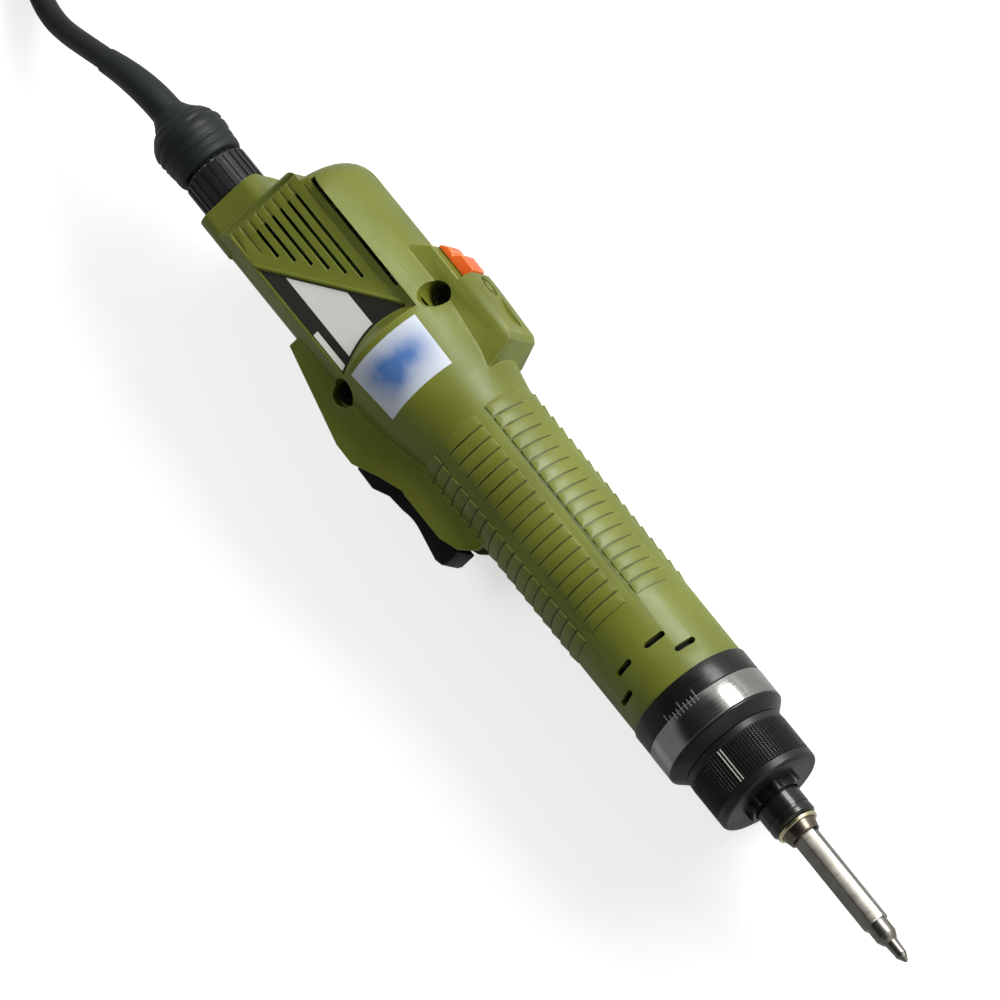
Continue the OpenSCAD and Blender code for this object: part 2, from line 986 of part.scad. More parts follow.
// Seat that the ring pushes against the clutch spring
seat_front = ring_end - ring_front - 0.1;
seat_rear = seat_front - ring_travel - 1.4;
washer_rear = cam_front + free_gap;
washer_front = washer_rear + 1.9;

module spring_seat() {
  color("goldenrod")
    on_tool()
      tube(seat_rear, seat_front, tube_r - tube_wall - run_fit, spindle_r - 0.2 + run_fit);
}

module clutch_spring() {
  color("dimgray")
    on_tool()
      coil_spring(
        washer_front + 0.15, seat_rear - 0.15, spring_r, spring_wire_r, spring_turns, 16
      );
}

module thrust_washer() {
  color(steel)
    on_tool()
      tube(washer_rear, washer_front, spring_r + spring_wire_r + 0.5, spindle_r + 0.3);
}

// ---------------------------------------------------------------- clutch

module ball_circle(r, x) {
  for (i = [0:ball_count - 1])
    rotate([360 * i / ball_count, 0, 0])
      translate([x, 0, ball_circle_r])
        sphere(r, $fn = 32);
}

module clutch_driver() {
  color("slategray")
    on_tool()
      difference() {
        tube(driver_rear, driver_front, cam_r, carrier_shaft_r + seat_gap);
        ball_circle(ball_r + seat_gap, ball_x);
      }
}

module clutch_driven() {
  color("slategray")
    on_tool()
      difference() {
        tube(driven_rear, cam_front, cam_r, spindle_r - 0.2 + seat_gap);
        ball_circle(ball_r + seat_gap, ball_x);
      }
}

module clutch_balls() {
  color(steel)
    on_tool()
      ball_circle(ball_r, ball_x);
}

// ---------------------------------------------------------------- gearbox

module ring_gear() {
  pitch = gear_mod * ring_teeth / 2;
  bore = pitch + 1.3 * gear_mod;
  color(steel)
    on_tool()
      difference() {
        bar(case_rear, case_front, case_r);
        translate([case_rear - 1, 0, 0])
          along_x()
            linear_extrude(gear_front + 0.2 - case_rear + 1)
              polygon(gear_outline(
                ring_teeth, pitch - 0.92 * gear_mod, bore, -backlash, 180
              ));
        bar(gear_front + 0.1, case_front - case_wall, bore + 0.1);
        bar(case_front - case_wall - 1, case_front + 1, carrier_shaft_r + 1);
        bar(bearing_x, case_front + 1, bearing_r + seat_gap);
      }
}

module carrier_bearing() {
  color("silver")
    on_tool()
      tube(
        bearing_x + 0.02, bearing_x + bearing_w, bearing_r, carrier_shaft_r + run_fit
      );
}

module planet_carrier() {
  color("gray")
    on_tool()
      difference() {
        union() {
          bar(carrier_rear, carrier_front, gear_centre + planet_pin_r + 1.6);
          bar(carrier_front - eps, driver_front - 0.2, carrier_shaft_r);
        }
        for (i = [0:2])
          rotate([120 * i, 0, 0])
            translate([0, 0, gear_centre])
              bar(carrier_rear - 1, carrier_front + 1, planet_pin_r + seat_gap / 2);
      }
}

module planet_pins() {
  color(steel)
    on_tool()
      for (i = [0:2])
        rotate([120 * i, 0, 0])
          translate([0, 0, gear_centre])
            bar(gear_rear - 0.5, carrier_front, planet_pin_r);
}

// Planet gear i; along_x turns the outline, so angle 180 there is +Z
module planet(i) {
  color("peru")
    on_tool()
      rotate([120 * i, 0, 0])
        translate([gear_rear, 0, gear_centre])
          difference() {
            spur_gear(planet_teeth, gear_w, 180);
            bar(-1, gear_w + 1, planet_pin_r + run_fit);
          }
}

module planet_gear_1() { planet(0); }

module planet_gear_2() { planet(1); }

module planet_gear_3() { planet(2); }

module sun_gear() {
  color("peru")
    on_tool()
      translate([gear_rear, 0, 0])
        difference() {
          spur_gear(sun_teeth, gear_w - 1, 180);
          bar(-1, gear_w + 1, shaft_r + seat_gap / 2);
        }
}

// ---------------------------------------------------------------- motor

module motor_plate() {
  color("silver")
    on_tool()
      tube(motor_front + 0.02, case_rear - 0.02, case_r, 3.5);
}

module motor_can() {
  color("silver")
    on_tool()
      difference() {
        union() {
          turned([
            [0, motor_rear], [motor_r, motor_rear], [motor_r, motor_front - 1.2],
            [motor_r - 1.2, motor_front], [0, motor_front]
          ]);
          bar(motor_front - eps, motor_front + 1.6, 3.2);
        }
        bar(motor_rear - 1, motor_front + 2, shaft_r + run_fit);
      }
}

module motor_shaft() {
  color(steel)
    on_tool()
      bar(motor_rear + 1, gear_rear + gear_w, shaft_r);
}

module motor_end_cap() {
  color(black)
    on_tool()
      union() {
        turned([
          [0, motor_rear - motor_cap_len], [motor_r - 3.5, motor_rear - motor_cap_len],
          [motor_r - 2, motor_rear - motor_cap_len + 2], [motor_r - 0.3, motor_rear - 0.02],
          [0, motor_rear - 0.02]
        ]);
        for (side = [-1, 1])
          block(
            [motor_rear - motor_cap_len - 4, side * 7 - 0.4, -1.5],
            [motor_rear - motor_cap_len + 1, side * 7 + 0.4, 1.5]
          );
      }
}

// ---------------------------------------------------------------- spindle

hex_corner = hex_af / 2 / cos(30);
socket_corner = (hex_af + hex_gap) / 2 / cos(30);
chuck_collar_r = spindle_r + 0.6;
land_r = spindle_r + run_fit;
land_from = sleeve_rear + 4;
land_to = sleeve_rear + 6.8;
chuck_ball_x = land_from + 1.3;
chuck_ball_mid = spindle_r - chuck_ball_r;
chuck_balls_n = 2;

module spindle() {
  color(steel)
    on_tool()
      difference() {
        union() {
          bar(driven_rear + 0.5, sleeve_rear - 2.5, spindle_r - 0.2);
          bar(sleeve_rear - 2.5 - eps, sleeve_rear - 1, chuck_collar_r);
          bar(sleeve_rear - 1 - eps, snap_x + snap_w, spindle_r);
          bar(snap_x + snap_w - eps, mouth_x, spindle_r, socket_corner + 0.5);
        }
        translate([mouth_x - socket_depth, 0, 0])
          along_x()
            cylinder(h = socket_depth + 1, r = socket_corner, $fn = 6);
        bar(mouth_x - 0.8, mouth_x + eps, socket_corner - 0.4, socket_corner + 0.3);
        for (i = [0:chuck_balls_n - 1])
          rotate([360 * i / chuck_balls_n, 0, 0])
            translate([chuck_ball_x, 0, 1])
              cylinder(h = 10, r = chuck_ball_r + seat_gap);
      }
}

module chuck_sleeve() {
  color(black)
    on_tool()
      turned([
        [chuck_collar_r + run_fit, sleeve_rear],
        [sleeve_r - 0.3, sleeve_rear],
        [sleeve_r, sleeve_rear + 0.3],
        [sleeve_r, sleeve_end - 3.2],
        [sleeve_r - 0.35, sleeve_end - 3.1],
        [sleeve_r - 0.35, sleeve_end - 2.3],
        [sleeve_r, sleeve_end - 2.2],
        [sleeve_r, sleeve_end - 0.9],
        [sleeve_r - 0.5, sleeve_end],
        [land_r + 0.5, sleeve_end],
        [land_r + 0.5, land_to],
        [land_r, land_to],
        [land_r, land_from],
        [chuck_collar_r + run_fit, land_from]
      ]);
}

module chuck_spring() {
  color("silver")
    on_tool()
      coil_spring(
        sleeve_rear - 0.95, land_from - 0.05, spindle_r + 0.04 + chuck_wire_r,
        chuck_wire_r, 3.5, 28, 6
      );
}

module chuck_balls() {
  color("silver")
    on_tool()
      for (i = [0:chuck_balls_n - 1])
        rotate([360 * i / chuck_balls_n, 0, 0])
          translate([chuck_ball_x, 0, chuck_ball_mid])
            sphere(chuck_ball_r - 0.02, $fn = 32);
}

module retaining_ring() {
  color("khaki")
    on_tool()
      turned([
        [spindle_r + 0.02, snap_x], [sleeve_r - 0.5, snap_x],
        [sleeve_r - 0.6, snap_x + snap_w], [spindle_r + 0.02, snap_x + snap_w]
      ]);
}

module driver_bit() {
  groove_r = chuck_ball_mid - chuck_ball_r;
  flute_r = 0.75;
  color("silver")
    on_tool()
      difference() {
        union() {
          intersection() {
            translate([bit_rear, 0, 0])
              along_x()
                cylinder(h = bit_hex_end - bit_rear, r = hex_corner, $fn = 6);
            turned([
              [0, bit_rear],
              [hex_corner - 0.9, bit_rear],
              [hex_corner + 0.1, bit_rear + 1],
              [hex_corner + 0.1, chuck_ball_x - 2.2],
              [groove_r, chuck_ball_x - 1],
              [groove_r, chuck_ball_x + 1],
              [hex_corner + 0.1, chuck_ball_x + 2.2],
              [hex_corner + 0.1, bit_hex_end - 0.4],
              [hex_corner - 0.5, bit_hex_end],
              [0, bit_hex_end]
            ]);
          }
          turned([
            [0, bit_hex_end - 1],
            [bit_neck_r, bit_hex_end - 1],
            [bit_neck_r, bit_hex_end + bit_neck_len - 2.2],
            [bit_neck_r - 0.6, bit_hex_end + bit_neck_len - 0.8],
            [bit_tip_r, bit_hex_end + bit_neck_len],
            [bit_tip_r - 0.25, bit_end - 2.2],
            [0.5, bit_end - 0.35],
            [0.2, bit_end],
            [0, bit_end]
          ]);
        }
        for (i = [0:3])
          rotate([45 + 90 * i, 0, 0])
            translate([bit_end, 0, 1.05])
              rotate([0, -62, 0])
                translate([0, 0, -1])
                  cylinder(h = 8, r1 = 0.4, r2 = flute_r * 1.9, $fn = 16);
      }
}

// ---------------------------------------------------------------- lever

lever_front = guard_front - 3.5;
lever_in_y = -21.8;
finger_y = -lever_crest + 3;

module lever() {
  px = lever_pin_at[0];
  py = lever_pin_at[1];
  color(black)
    on_tool()
      difference() {
        union() {
          slab(lever_half_w, concat(
            [
              [px - 1, py - 2.4],
              [ridge_x - 2, -24.6],
              [ridge_x + 0.5, ridge_y + 1.6],
              [ridge_x + 1, -lever_crest + 0.2],
              [ridge_x + 7.5, -lever_crest],
              [ridge_x + 12, finger_y - 0.9]
            ],
            [for (p = arc([-grip_len + 7, finger_y - 14], 14, 105, 78, 5)) p],
            [
              [lever_front - 3, -lever_crest + 1],
              [lever_front - 0.7, -lever_crest + 1.5],
              [lever_front, -lever_crest + 2.8],
              [lever_front, lever_in_y],
              [ridge_x + 8, lever_in_y],
              [px, py + 2.2]
            ]
          ));
          translate([px, py, -lever_half_w])
            cylinder(h = 2 * lever_half_w, r = lever_pin_r + 1.4);
          block([nub_x - 1.5, lever_in_y - 1, -1.8], [nub_x + 1.5, nub_tip, 1.8]);
        }
        translate([px, py, -lever_half_w - 1])
          cylinder(h = 2 * lever_half_w + 2, r = lever_pin_r + run_fit);
        translate([spring_x, lever_in_y + 1, 0])
          rotate([90, 0, 0])
            cylinder(h = 2.5, r = lever_spring_r + 0.7);
      }
}

spring_x = -grip_len + 4;
nub_tip = -16.4;

module lever_pin() {
  color(steel)
    on_tool()
      translate([lever_pin_at[0], lever_pin_at[1], -guard_half + 1.1])
        cylinder(h = 2 * guard_half - 2.2, r = lever_pin_r);
}

module lever_spring() {
  color("silver")
    on_tool()
      translate([spring_x, 0, 0])
        rotate([0, 0, 90])
          coil_spring(lever_in_y - 1.45, -grip_r - 0.1, lever_spring_r, 0.25, 5, 14, 6);
}

switch_front_y = nub_tip + 1.8;
plunger_r = 1;

module micro_switch() {
  color("dimgray")
    on_tool()
      difference() {
        block([nub_x - 6.4, switch_front_y, -3.2], [nub_x + 6.4, switch_front_y + 6.5, 3.2]);
        translate([nub_x, switch_front_y - 1, 0])
          rotate([-90, 0, 0])
            cylinder(h = 4, r = plunger_r + run_fit);
      }
}

module switch_plunger() {
  color("crimson")
    on_tool()
      translate([nub_x, nub_tip + free_gap, 0])
        rotate([-90, 0, 0])
          cylinder(h = switch_front_y - nub_tip + 0.5, r = plunger_r);
}

// ---------------------------------------------------------------- switch

module slide_switch() {
  color("dimgray")
    on_tool()
      slide_switch_body(0);
}

module switch_knob() {
  top = pod_deck_h + knob_h;
  rear = knob_front - knob_l;
  color("darkorange")
    on_tool()
      union() {
        slab(4, [
          [rear, pod_deck_h + 0.15],
          [rear + 0.3, pod_deck_h + 1],
          [rear + 1.6, top - 1.5],
          [rear + 3.4, top - 1.3],
          [rear + 4.4, top - 1.9],
          [rear + 5.4, top - 0.4],
          [rear + 6.2, top],
          [knob_front - 0.3, top],
          [knob_front, top - 0.5],
          [knob_front, pod_deck_h + 0.15]
        ]);
        block(
          [stem_x - stem_l / 2, switch_top + 0.15, -stem_w / 2],
          [stem_x + stem_l / 2, pod_deck_h + 0.5, stem_w / 2]
        );
      }
}

module circuit_board() {
  front = switch_front - switch_len - 1;
  rear = boss_rear + 15.2;
  half = sqrt(pow(body_r - wall, 2) - 1) - 0.25;
  color("seagreen")
    on_tool()
      difference() {
        union() {
          block([rear, -half, -0.8], [front, half, 0.8]);
          block([rear + 8, 2, 0.7], [rear + 16, 12, 3.4]);
          translate([rear + 12, -7, 0.7])
            cylinder(h = 8.5, r = 4);
          for (i = [0:2])
            block([rear + 19, -9 + 7 * i, 0.7], [rear + 23, -5 + 7 * i, 5.4]);
        }
        block([rear - 1, 8, -2], [rear + 4, 20, 2]);
        block([rear - 1, -20, -2], [rear + 4, -18, 2]);
      }
}

// ---------------------------------------------------------------- connector

module on_connector() {
  on_tool()
    translate([0, -conn_off, 0])
      children();
}

module contacts(from, to, r, circle_r) {
  for (i = [0:contact_count - 1])
    rotate([360 * i / contact_count, 0, 0])
      translate([0, 0, circle_r])
        bar(from, to, r);
}

socket_rear = boss_rear + 0.6;
socket_front = boss_rear + 15;
plug_r = 5.6;

module rear_socket() {
  color(black)
    on_connector()
      difference() {
        bar(socket_rear, socket_front, socket_r);
        bar(socket_rear - 1, socket_rear + 7, plug_r + 0.1);
        contacts(socket_rear + 6, socket_front + 1, 0.55, 3.4);
      }
}

module socket_pins() {
  color("gold")
    on_connector()
      contacts(socket_rear + 3, socket_front + 0.15, 0.5, 3.4);
}

module plug_core() {
  color(black)
    on_connector()
      difference() {
        union() {
          bar(plug_rear, socket_rear + 6.8, plug_r);
          bar(plug_rear, nut_rear + 1.5, plug_r + 1.4);
        }
        contacts(socket_rear + 2.5, socket_rear + 7, 0.6, 3.4);
      }
}

module coupling_nut() {
  color(black)
    on_connector()
      difference() {
        union() {
          turned([
            [0, nut_rear], [nut_r - 1.2, nut_rear], [nut_r - 0.3, nut_rear + 0.9],
            [nut_r - 0.3, nut_front - 0.6], [nut_r - 0.8, nut_front], [0, nut_front]
          ]);
          for (i = [0:nut_ribs - 1])
            rotate([360 * i / nut_ribs, 0, 0])
              translate([nut_rear + 1.2, -0.55, nut_r - 1])
                cube([nut_len - 2, 1.1, 1]);
        }
        bar(nut_rear - 1, nut_front + 1, plug_r + free_gap);
        bar(nut_rear - 1, nut_rear + 2, plug_r + 1.4 + free_gap);
      }
}

// Route of the supply cord, from the boot to the coil on the bench, in the
// tool's own axes; the last points lie on the coil's outer turn
floor_z = -body_r;
cord_r = cord_d / 2;
// Stations and radii of the boot's bulb, from the nut back to its neck
bulb = [
  [boot_len - 0.05, nut_r - 0.5], [boot_len - 1.6, nut_r + 0.5], [10.5, boot_r],
  [7.6, boot_r], [4.6, 8.7], [1.6, 5.8], [0, 4.6], [-1.5, 4.3]
];
boot_tail = [
  [boot_rear - 6, -10.6, -0.3], [boot_rear - 12, -11.6, -1.3],
  [boot_rear - 18, -13.2, -3.1], [boot_rear - 24, -15.2, -5.4]
];
tail_radii = [4.2, 4.05, 3.75, 3.4];

module cable_boot() {
  color([0.2, 0.21, 0.22])
    on_tool()
      swept(
        concat([for (p = bulb) [boot_rear + p[0], -conn_off, 0]], boot_tail),
        concat([for (p = bulb) p[1]], tail_radii),
        20
      );
}

coil_mid = [-313, -25];
coil_r = 33;
coil_w = 3 * cord_d;
coil_h = 3 * cord_d;

// Points chosen by hand along the lead's run to the coil
lead_path = [
  [boot_rear - 24, -15.2, -5.4], [-236, -17.6, -8], [-242, -19.8, -10.8], [-248, -21.4, -13.6],
  [-254, -21.6, -15.9], [-260, -20.6, -17.2], [-266, -17.6, -17.6], [-271.5, -12, -17.6],
  [-275.5, -5, -17.6]
];

module cord_lead() {
  color(black)
    on_tool()
      swept(lead_path, [for (p = lead_path) cord_r], 8);
}

module cord_coil() {
  color(black)
    on_tool()
      translate([coil_mid[0], coil_mid[1], floor_z])
        rotate_extrude()
          translate([coil_r, coil_h / 2])
            round_rect(coil_w, coil_h, cord_r - 0.2);
}

far_nut_r = 7.1;

// Strap round the turns of the coil, open below where it would meet the bench
module coil_tie() {
  t = 0.8;
  w = 9;
  half = coil_w / 2 + seat_gap;
  inner_r = coil_r - coil_w / 2;
  bulge = inner_r - sqrt(inner_r * inner_r - w * w / 4);
  color([0.2, 0.2, 0.2])
    on_tool()
      translate([coil_mid[0], coil_mid[1] - coil_r, floor_z])
        rotate([0, 0, 90])
          difference() {
            block([-half - t, -w / 2, 1], [half + bulge + t, w / 2, coil_h + seat_gap + t]);
            block([-half, -w, 0], [half + bulge, w, coil_h + seat_gap]);
          }
}

// Run from the coil's top turn up to the far plug, which lies on the coil
far_rear = 24;
far_chord = 30.3;
far_lift = coil_h + far_nut_r + 0.55;
far_at = [coil_mid[0] - far_chord, coil_mid[1] - 10, floor_z + far_lift];
far_turn = 270;
tail_steps = [
  [10.1, 37.7, -5.6], [2.7, 39.2, -4.8], [-4.8, 39.2, -3], [-12.1, 37.4, -0.8],
  [-18.7, 33.8, 1.4], [-24, 28.7, 3.4], [-28.3, 23.1, 4.7], [-30.3, 18.2, 5.05],
  [-30.3, 14, 5.05]
];
tail_path = [for (p = tail_steps) [coil_mid[0] + p[0], coil_mid[1] + p[1], p[2]]];

module cord_tail() {
  color(black)
    on_tool()
      swept(tail_path, [for (p = tail_path) cord_r], 8);
}

module on_far_plug() {
  on_tool()
    translate(far_at)
      rotate([0, 0, far_turn])
        children();
}

far_r = plug_r;
far_nut_len = 11;
far_nut_ribs = 18;

module far_plug() {
  color(black)
    on_far_plug()
      difference() {
        union() {
          turned([
            [0, -far_rear], [cord_r + 0.5, -far_rear], [cord_r + 1.3, -12],
            [far_r + 0.4, -8.5], [far_nut_r - 0.3, -6], [far_nut_r - 0.3, -0.3], [0, -0.3]
          ]);
          bar(-1, far_nut_len + 2.5, far_r);
        }
        contacts(8, far_nut_len + 4, 0.6, 3.4);
      }
}

module far_plug_nut() {
  color(black)
    on_far_plug()
      difference() {
        union() {
          bar(0, far_nut_len, far_nut_r);
          for (i = [0:far_nut_ribs - 1])
            rotate([360 * i / far_nut_ribs, 0, 0])
              translate([1, -0.55, far_nut_r - 0.5])
                cube([far_nut_len - 2, 1.1, 1]);
        }
        bar(-1, far_nut_len + 1, far_r + free_gap);
      }
}

module far_plug_pins() {
  color("gold")
    on_far_plug()
      contacts(8, far_nut_len + 2, 0.5, 3.4);
}

upper_housing();
lower_housing();
housing_screws();
nose_collar();
torque_barrel();
torque_ring();
ring_hub();
spring_seat();
clutch_spring();
thrust_washer();
clutch_driver();
clutch_driven();
clutch_balls();
ring_gear();
carrier_bearing();
planet_carrier();
planet_pins();
planet_gear_1();
planet_gear_2();
planet_gear_3();
sun_gear();
motor_plate();
motor_can();
motor_shaft();
motor_end_cap();
spindle();
chuck_sleeve();
chuck_spring();
chuck_balls();
retaining_ring();
driver_bit();
lever();
lever_pin();
lever_spring();
micro_switch();
switch_plunger();
slide_switch();
switch_knob();
circuit_board();
rear_socket();
socket_pins();
plug_core();
coupling_nut();
cable_boot();
cord_lead();
cord_coil();
coil_tie();
cord_tail();
far_plug();
far_plug_nut();
far_plug_pins();
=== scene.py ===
import bpy, bmesh, math
from mathutils import Matrix, Vector
from mathutils.bvhtree import BVHTree


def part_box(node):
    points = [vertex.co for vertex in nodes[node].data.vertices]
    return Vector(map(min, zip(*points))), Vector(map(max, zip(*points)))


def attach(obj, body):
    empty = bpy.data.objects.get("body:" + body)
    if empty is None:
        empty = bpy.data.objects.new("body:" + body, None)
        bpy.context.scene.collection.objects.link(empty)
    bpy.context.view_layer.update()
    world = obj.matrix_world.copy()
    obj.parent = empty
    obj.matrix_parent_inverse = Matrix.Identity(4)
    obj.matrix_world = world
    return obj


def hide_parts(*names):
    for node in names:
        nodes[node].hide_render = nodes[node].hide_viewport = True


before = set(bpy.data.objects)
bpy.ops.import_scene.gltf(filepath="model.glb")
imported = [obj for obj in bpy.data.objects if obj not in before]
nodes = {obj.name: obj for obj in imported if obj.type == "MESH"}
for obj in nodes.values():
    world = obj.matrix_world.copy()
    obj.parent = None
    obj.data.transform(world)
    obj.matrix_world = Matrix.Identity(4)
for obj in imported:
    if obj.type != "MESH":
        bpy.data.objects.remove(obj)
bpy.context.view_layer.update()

# ------------------------------------------------------------------ view
# The tool lies on its lower half with its bit towards the lower right.
# It is seen from high up, through a long lens.
MM = 0.001
GRIP_FRONT = 0.04875
AXIS_Y = 0.0013
AXIS_Z = 0.0206


def place(x, y, z):
    """A point in mm from the grip's front edge, on the tool's own axis."""
    return Vector((GRIP_FRONT + x * MM, AXIS_Y + y * MM, AXIS_Z + z * MM))


scene = bpy.context.scene
scene.view_settings.view_transform = "Standard"

VIEW_WIDTH = 0.250
lens = bpy.data.cameras.new("viewer")
lens.sensor_width = 36
lens.lens = 900
lens.clip_end = 40
viewer = bpy.data.objects.new("viewer", lens)
scene.collection.objects.link(viewer)
scene.camera = viewer
right = Vector((0.6002, 0.7122, -0.3640)).normalized()
up = Vector((-0.7414, 0.6662, 0.0814))
up = (up - right * up.dot(right)).normalized()
towards = right.cross(up)
middle = place(-71, -6.55, 0)
back = VIEW_WIDTH * lens.lens / lens.sensor_width
viewer.matrix_world = Matrix.Translation(middle + towards * back) @ (
    Matrix((right, up, towards)).transposed().to_4x4()
)


def soft_box(name, at, size, power):
    """A lamp at an x, y and z distance from the middle of view, aimed at it."""
    light = bpy.data.lights.new(name, "AREA")
    light.shape = "RECTANGLE"
    light.size, light.size_y = size
    light.energy = power
    lamp = bpy.data.objects.new(name, light)
    scene.collection.objects.link(lamp)
    aim = Vector(at)
    turn = aim.to_track_quat("Z", "Y").to_matrix().to_4x4()
    lamp.matrix_world = Matrix.Translation(middle + aim) @ turn
    return lamp


soft_box("key", (0.06, 0.80, 0.36), (0.70, 0.34), 9.5)
fill = soft_box("top", (-0.35, -0.05, 0.85), (0.45, 0.45), 2.0)
fill.visible_glossy = False

# The room has a dark ceiling, white walls on the key lamp's side and dim ones
# on the other. It is dimmer to matt surfaces than to the viewer and gloss.
room = bpy.data.worlds.new("room")
scene.world = room
room.use_nodes = True
room_nodes, room_links = room.node_tree.nodes, room.node_tree.links
walls = room_nodes["Background"]
way = room_nodes.new("ShaderNodeTexCoord")
axes = room_nodes.new("ShaderNodeSeparateXYZ")
room_links.new(way.outputs["Generated"], axes.inputs["Vector"])


def room_fade(axis, low, high, dim, bright):
    """How bright the room is from low to high along an axis."""
    fade = room_nodes.new("ShaderNodeMapRange")
    fade.interpolation_type = "SMOOTHSTEP"
    room_links.new(axes.outputs[axis], fade.inputs["Value"])
    for label, number in (("From Min", low), ("From Max", high), ("To Min", dim), ("To Max", bright)):
        fade.inputs[label].default_value = number
    return fade.outputs["Result"]


shade = room_nodes.new("ShaderNodeMath")
shade.operation = "MULTIPLY"
room_links.new(room_fade("Z", 0.6, 0.82, 1.0, 0.08), shade.inputs[0])
room_links.new(room_fade("Y", -0.4, 0.3, 0.36, 1.0), shade.inputs[1])
room_links.new(shade.outputs["Value"], walls.inputs["Color"])
ray = room_nodes.new("ShaderNodeLightPath")
seen = None
for label in ("Is Camera Ray", "Is Glossy Ray", "Is Transmission Ray"):
    if seen is None:
        seen = ray.outputs[label]
        continue
    either = room_nodes.new("ShaderNodeMath")
    either.operation = "MAXIMUM"
    room_links.new(seen, either.inputs[0])
    room_links.new(ray.outputs[label], either.inputs[1])
    seen = either.outputs[0]
level = room_nodes.new("ShaderNodeMapRange")
level.inputs["To Min"].default_value = 0.42
level.inputs["To Max"].default_value = 1.0
room_links.new(seen, level.inputs["Value"])
room_links.new(level.outputs["Result"], walls.inputs["Strength"])

# ----------------------------------------------------------------- bench
# A plain pale bench top, which takes the tool's shadow.


def paint(red, green, blue):
    """A colour chart's 0 to 255 values as the shader's linear ones."""
    return tuple(
        c / 12.92 if c <= 0.04045 else ((c + 0.055) / 1.055) ** 2.4
        for c in (red / 255, green / 255, blue / 255)
    ) + (1,)


def finish(name, colour, rough, metal=0.0):
    """A new material with its main shader's colour, roughness and metal set."""
    made = bpy.data.materials.new(name)
    made.use_nodes = True
    shader = made.node_tree.nodes["Principled BSDF"]
    shader.inputs["Base Color"].default_value = colour
    shader.inputs["Roughness"].default_value = rough
    shader.inputs["Metallic"].default_value = metal
    return made, shader


def shown(name, shape, material, smooth_under=None):
    """The finished object of a bmesh; faces meet smoothly under an angle."""
    if smooth_under is not None:
        for face in shape.faces:
            face.smooth = True
        for edge in shape.edges:
            edge.smooth = edge.is_boundary or edge.calc_face_angle(0) < math.radians(smooth_under)
    data = bpy.data.meshes.new(name)
    shape.to_mesh(data)
    shape.free()
    data.materials.append(material)
    made = bpy.data.objects.new(name, data)
    scene.collection.objects.link(made)
    return made


top = bmesh.new()
bmesh.ops.create_grid(top, x_segments=1, y_segments=1, size=3)
# Its white holds for the viewer, while the shadow stays.
bench_paint, bench_shader = finish("bench_paint", paint(236, 236, 236), 0.8)
bench_shader.inputs["Specular IOR Level"].default_value = 0.1
bench_shader.inputs["Emission Color"].default_value = (1, 1, 1, 1)
bench_links = bench_paint.node_tree.links
bench_ray = bench_paint.node_tree.nodes.new("ShaderNodeLightPath")
bench_glow = bench_paint.node_tree.nodes.new("ShaderNodeMapRange")
bench_glow.inputs["To Max"].default_value = 0.6
bench_links.new(bench_ray.outputs["Is Camera Ray"], bench_glow.inputs["Value"])
bench_links.new(bench_glow.outputs["Result"], bench_shader.inputs["Emission Strength"])
shown("bench_top", top, bench_paint)


# ----------------------------------------------------------- supply cord
# Round multi-core cord in a matt black rubber sheath. It bends down to the
# bench behind the boot, and its length is wound in a neat coil.


def node_group(name, takes, gives):
    """A shader group with its input and output nodes, sockets as listed."""
    tree = bpy.data.node_groups.new(name, "ShaderNodeTree")
    for label, kind, value in takes:
        socket = tree.interface.new_socket(label, in_out="INPUT", socket_type=kind)
        socket.default_value = value
    for label, kind in gives:
        tree.interface.new_socket(label, in_out="OUTPUT", socket_type=kind)
    return tree, tree.nodes.new("NodeGroupInput"), tree.nodes.new("NodeGroupOutput")


def noise(tree, scale, detail=2.0, stretch=(1, 1, 1)):
    """Noise on Object coordinates, stretched by an amount along each axis."""
    here = tree.nodes.new("ShaderNodeTexCoord")
    fit = tree.nodes.new("ShaderNodeMapping")
    fit.inputs["Scale"].default_value = stretch
    made = tree.nodes.new("ShaderNodeTexNoise")
    made.inputs["Scale"].default_value = scale
    made.inputs["Detail"].default_value = detail
    tree.links.new(here.outputs["Object"], fit.inputs["Vector"])
    tree.links.new(fit.outputs["Vector"], made.inputs["Vector"])
    return made.outputs["Fac"]


def span(tree, value, low, high, out_low, out_high):
    """Maps a value's range low to high onto another range."""
    made = tree.nodes.new("ShaderNodeMapRange")
    tree.links.new(value, made.inputs["Value"])
    for label, number in (("From Min", low), ("From Max", high)):
        made.inputs[label].default_value = number
    for label, number in (("To Min", out_low), ("To Max", out_high)):
        if hasattr(number, "links"):
            tree.links.new(number, made.inputs[label])
        else:
            made.inputs[label].default_value = number
    return made.outputs["Result"]


def sum_of(tree, a, b, operation="ADD"):
    """The sum of two values, or another operation on them."""
    made = tree.nodes.new("ShaderNodeMath")
    made.operation = operation
    for value, socket in ((a, made.inputs[0]), (b, made.inputs[1])):
        if hasattr(value, "links"):
            tree.links.new(value, socket)
        else:
            socket.default_value = value
    return made.outputs["Value"]


def blended(tree, amount, a, b):
    """Colour a where amount is 0, b where it is 1."""
    made = tree.nodes.new("ShaderNodeMix")
    made.data_type = "RGBA"
    tree.links.new(amount, made.inputs["Factor"])
    for value, socket in ((a, made.inputs["A"]), (b, made.inputs["B"])):
        if hasattr(value, "links"):
            tree.links.new(value, socket)
        else:
            socket.default_value = value
    return [o for o in made.outputs if o.type == "RGBA"][0]


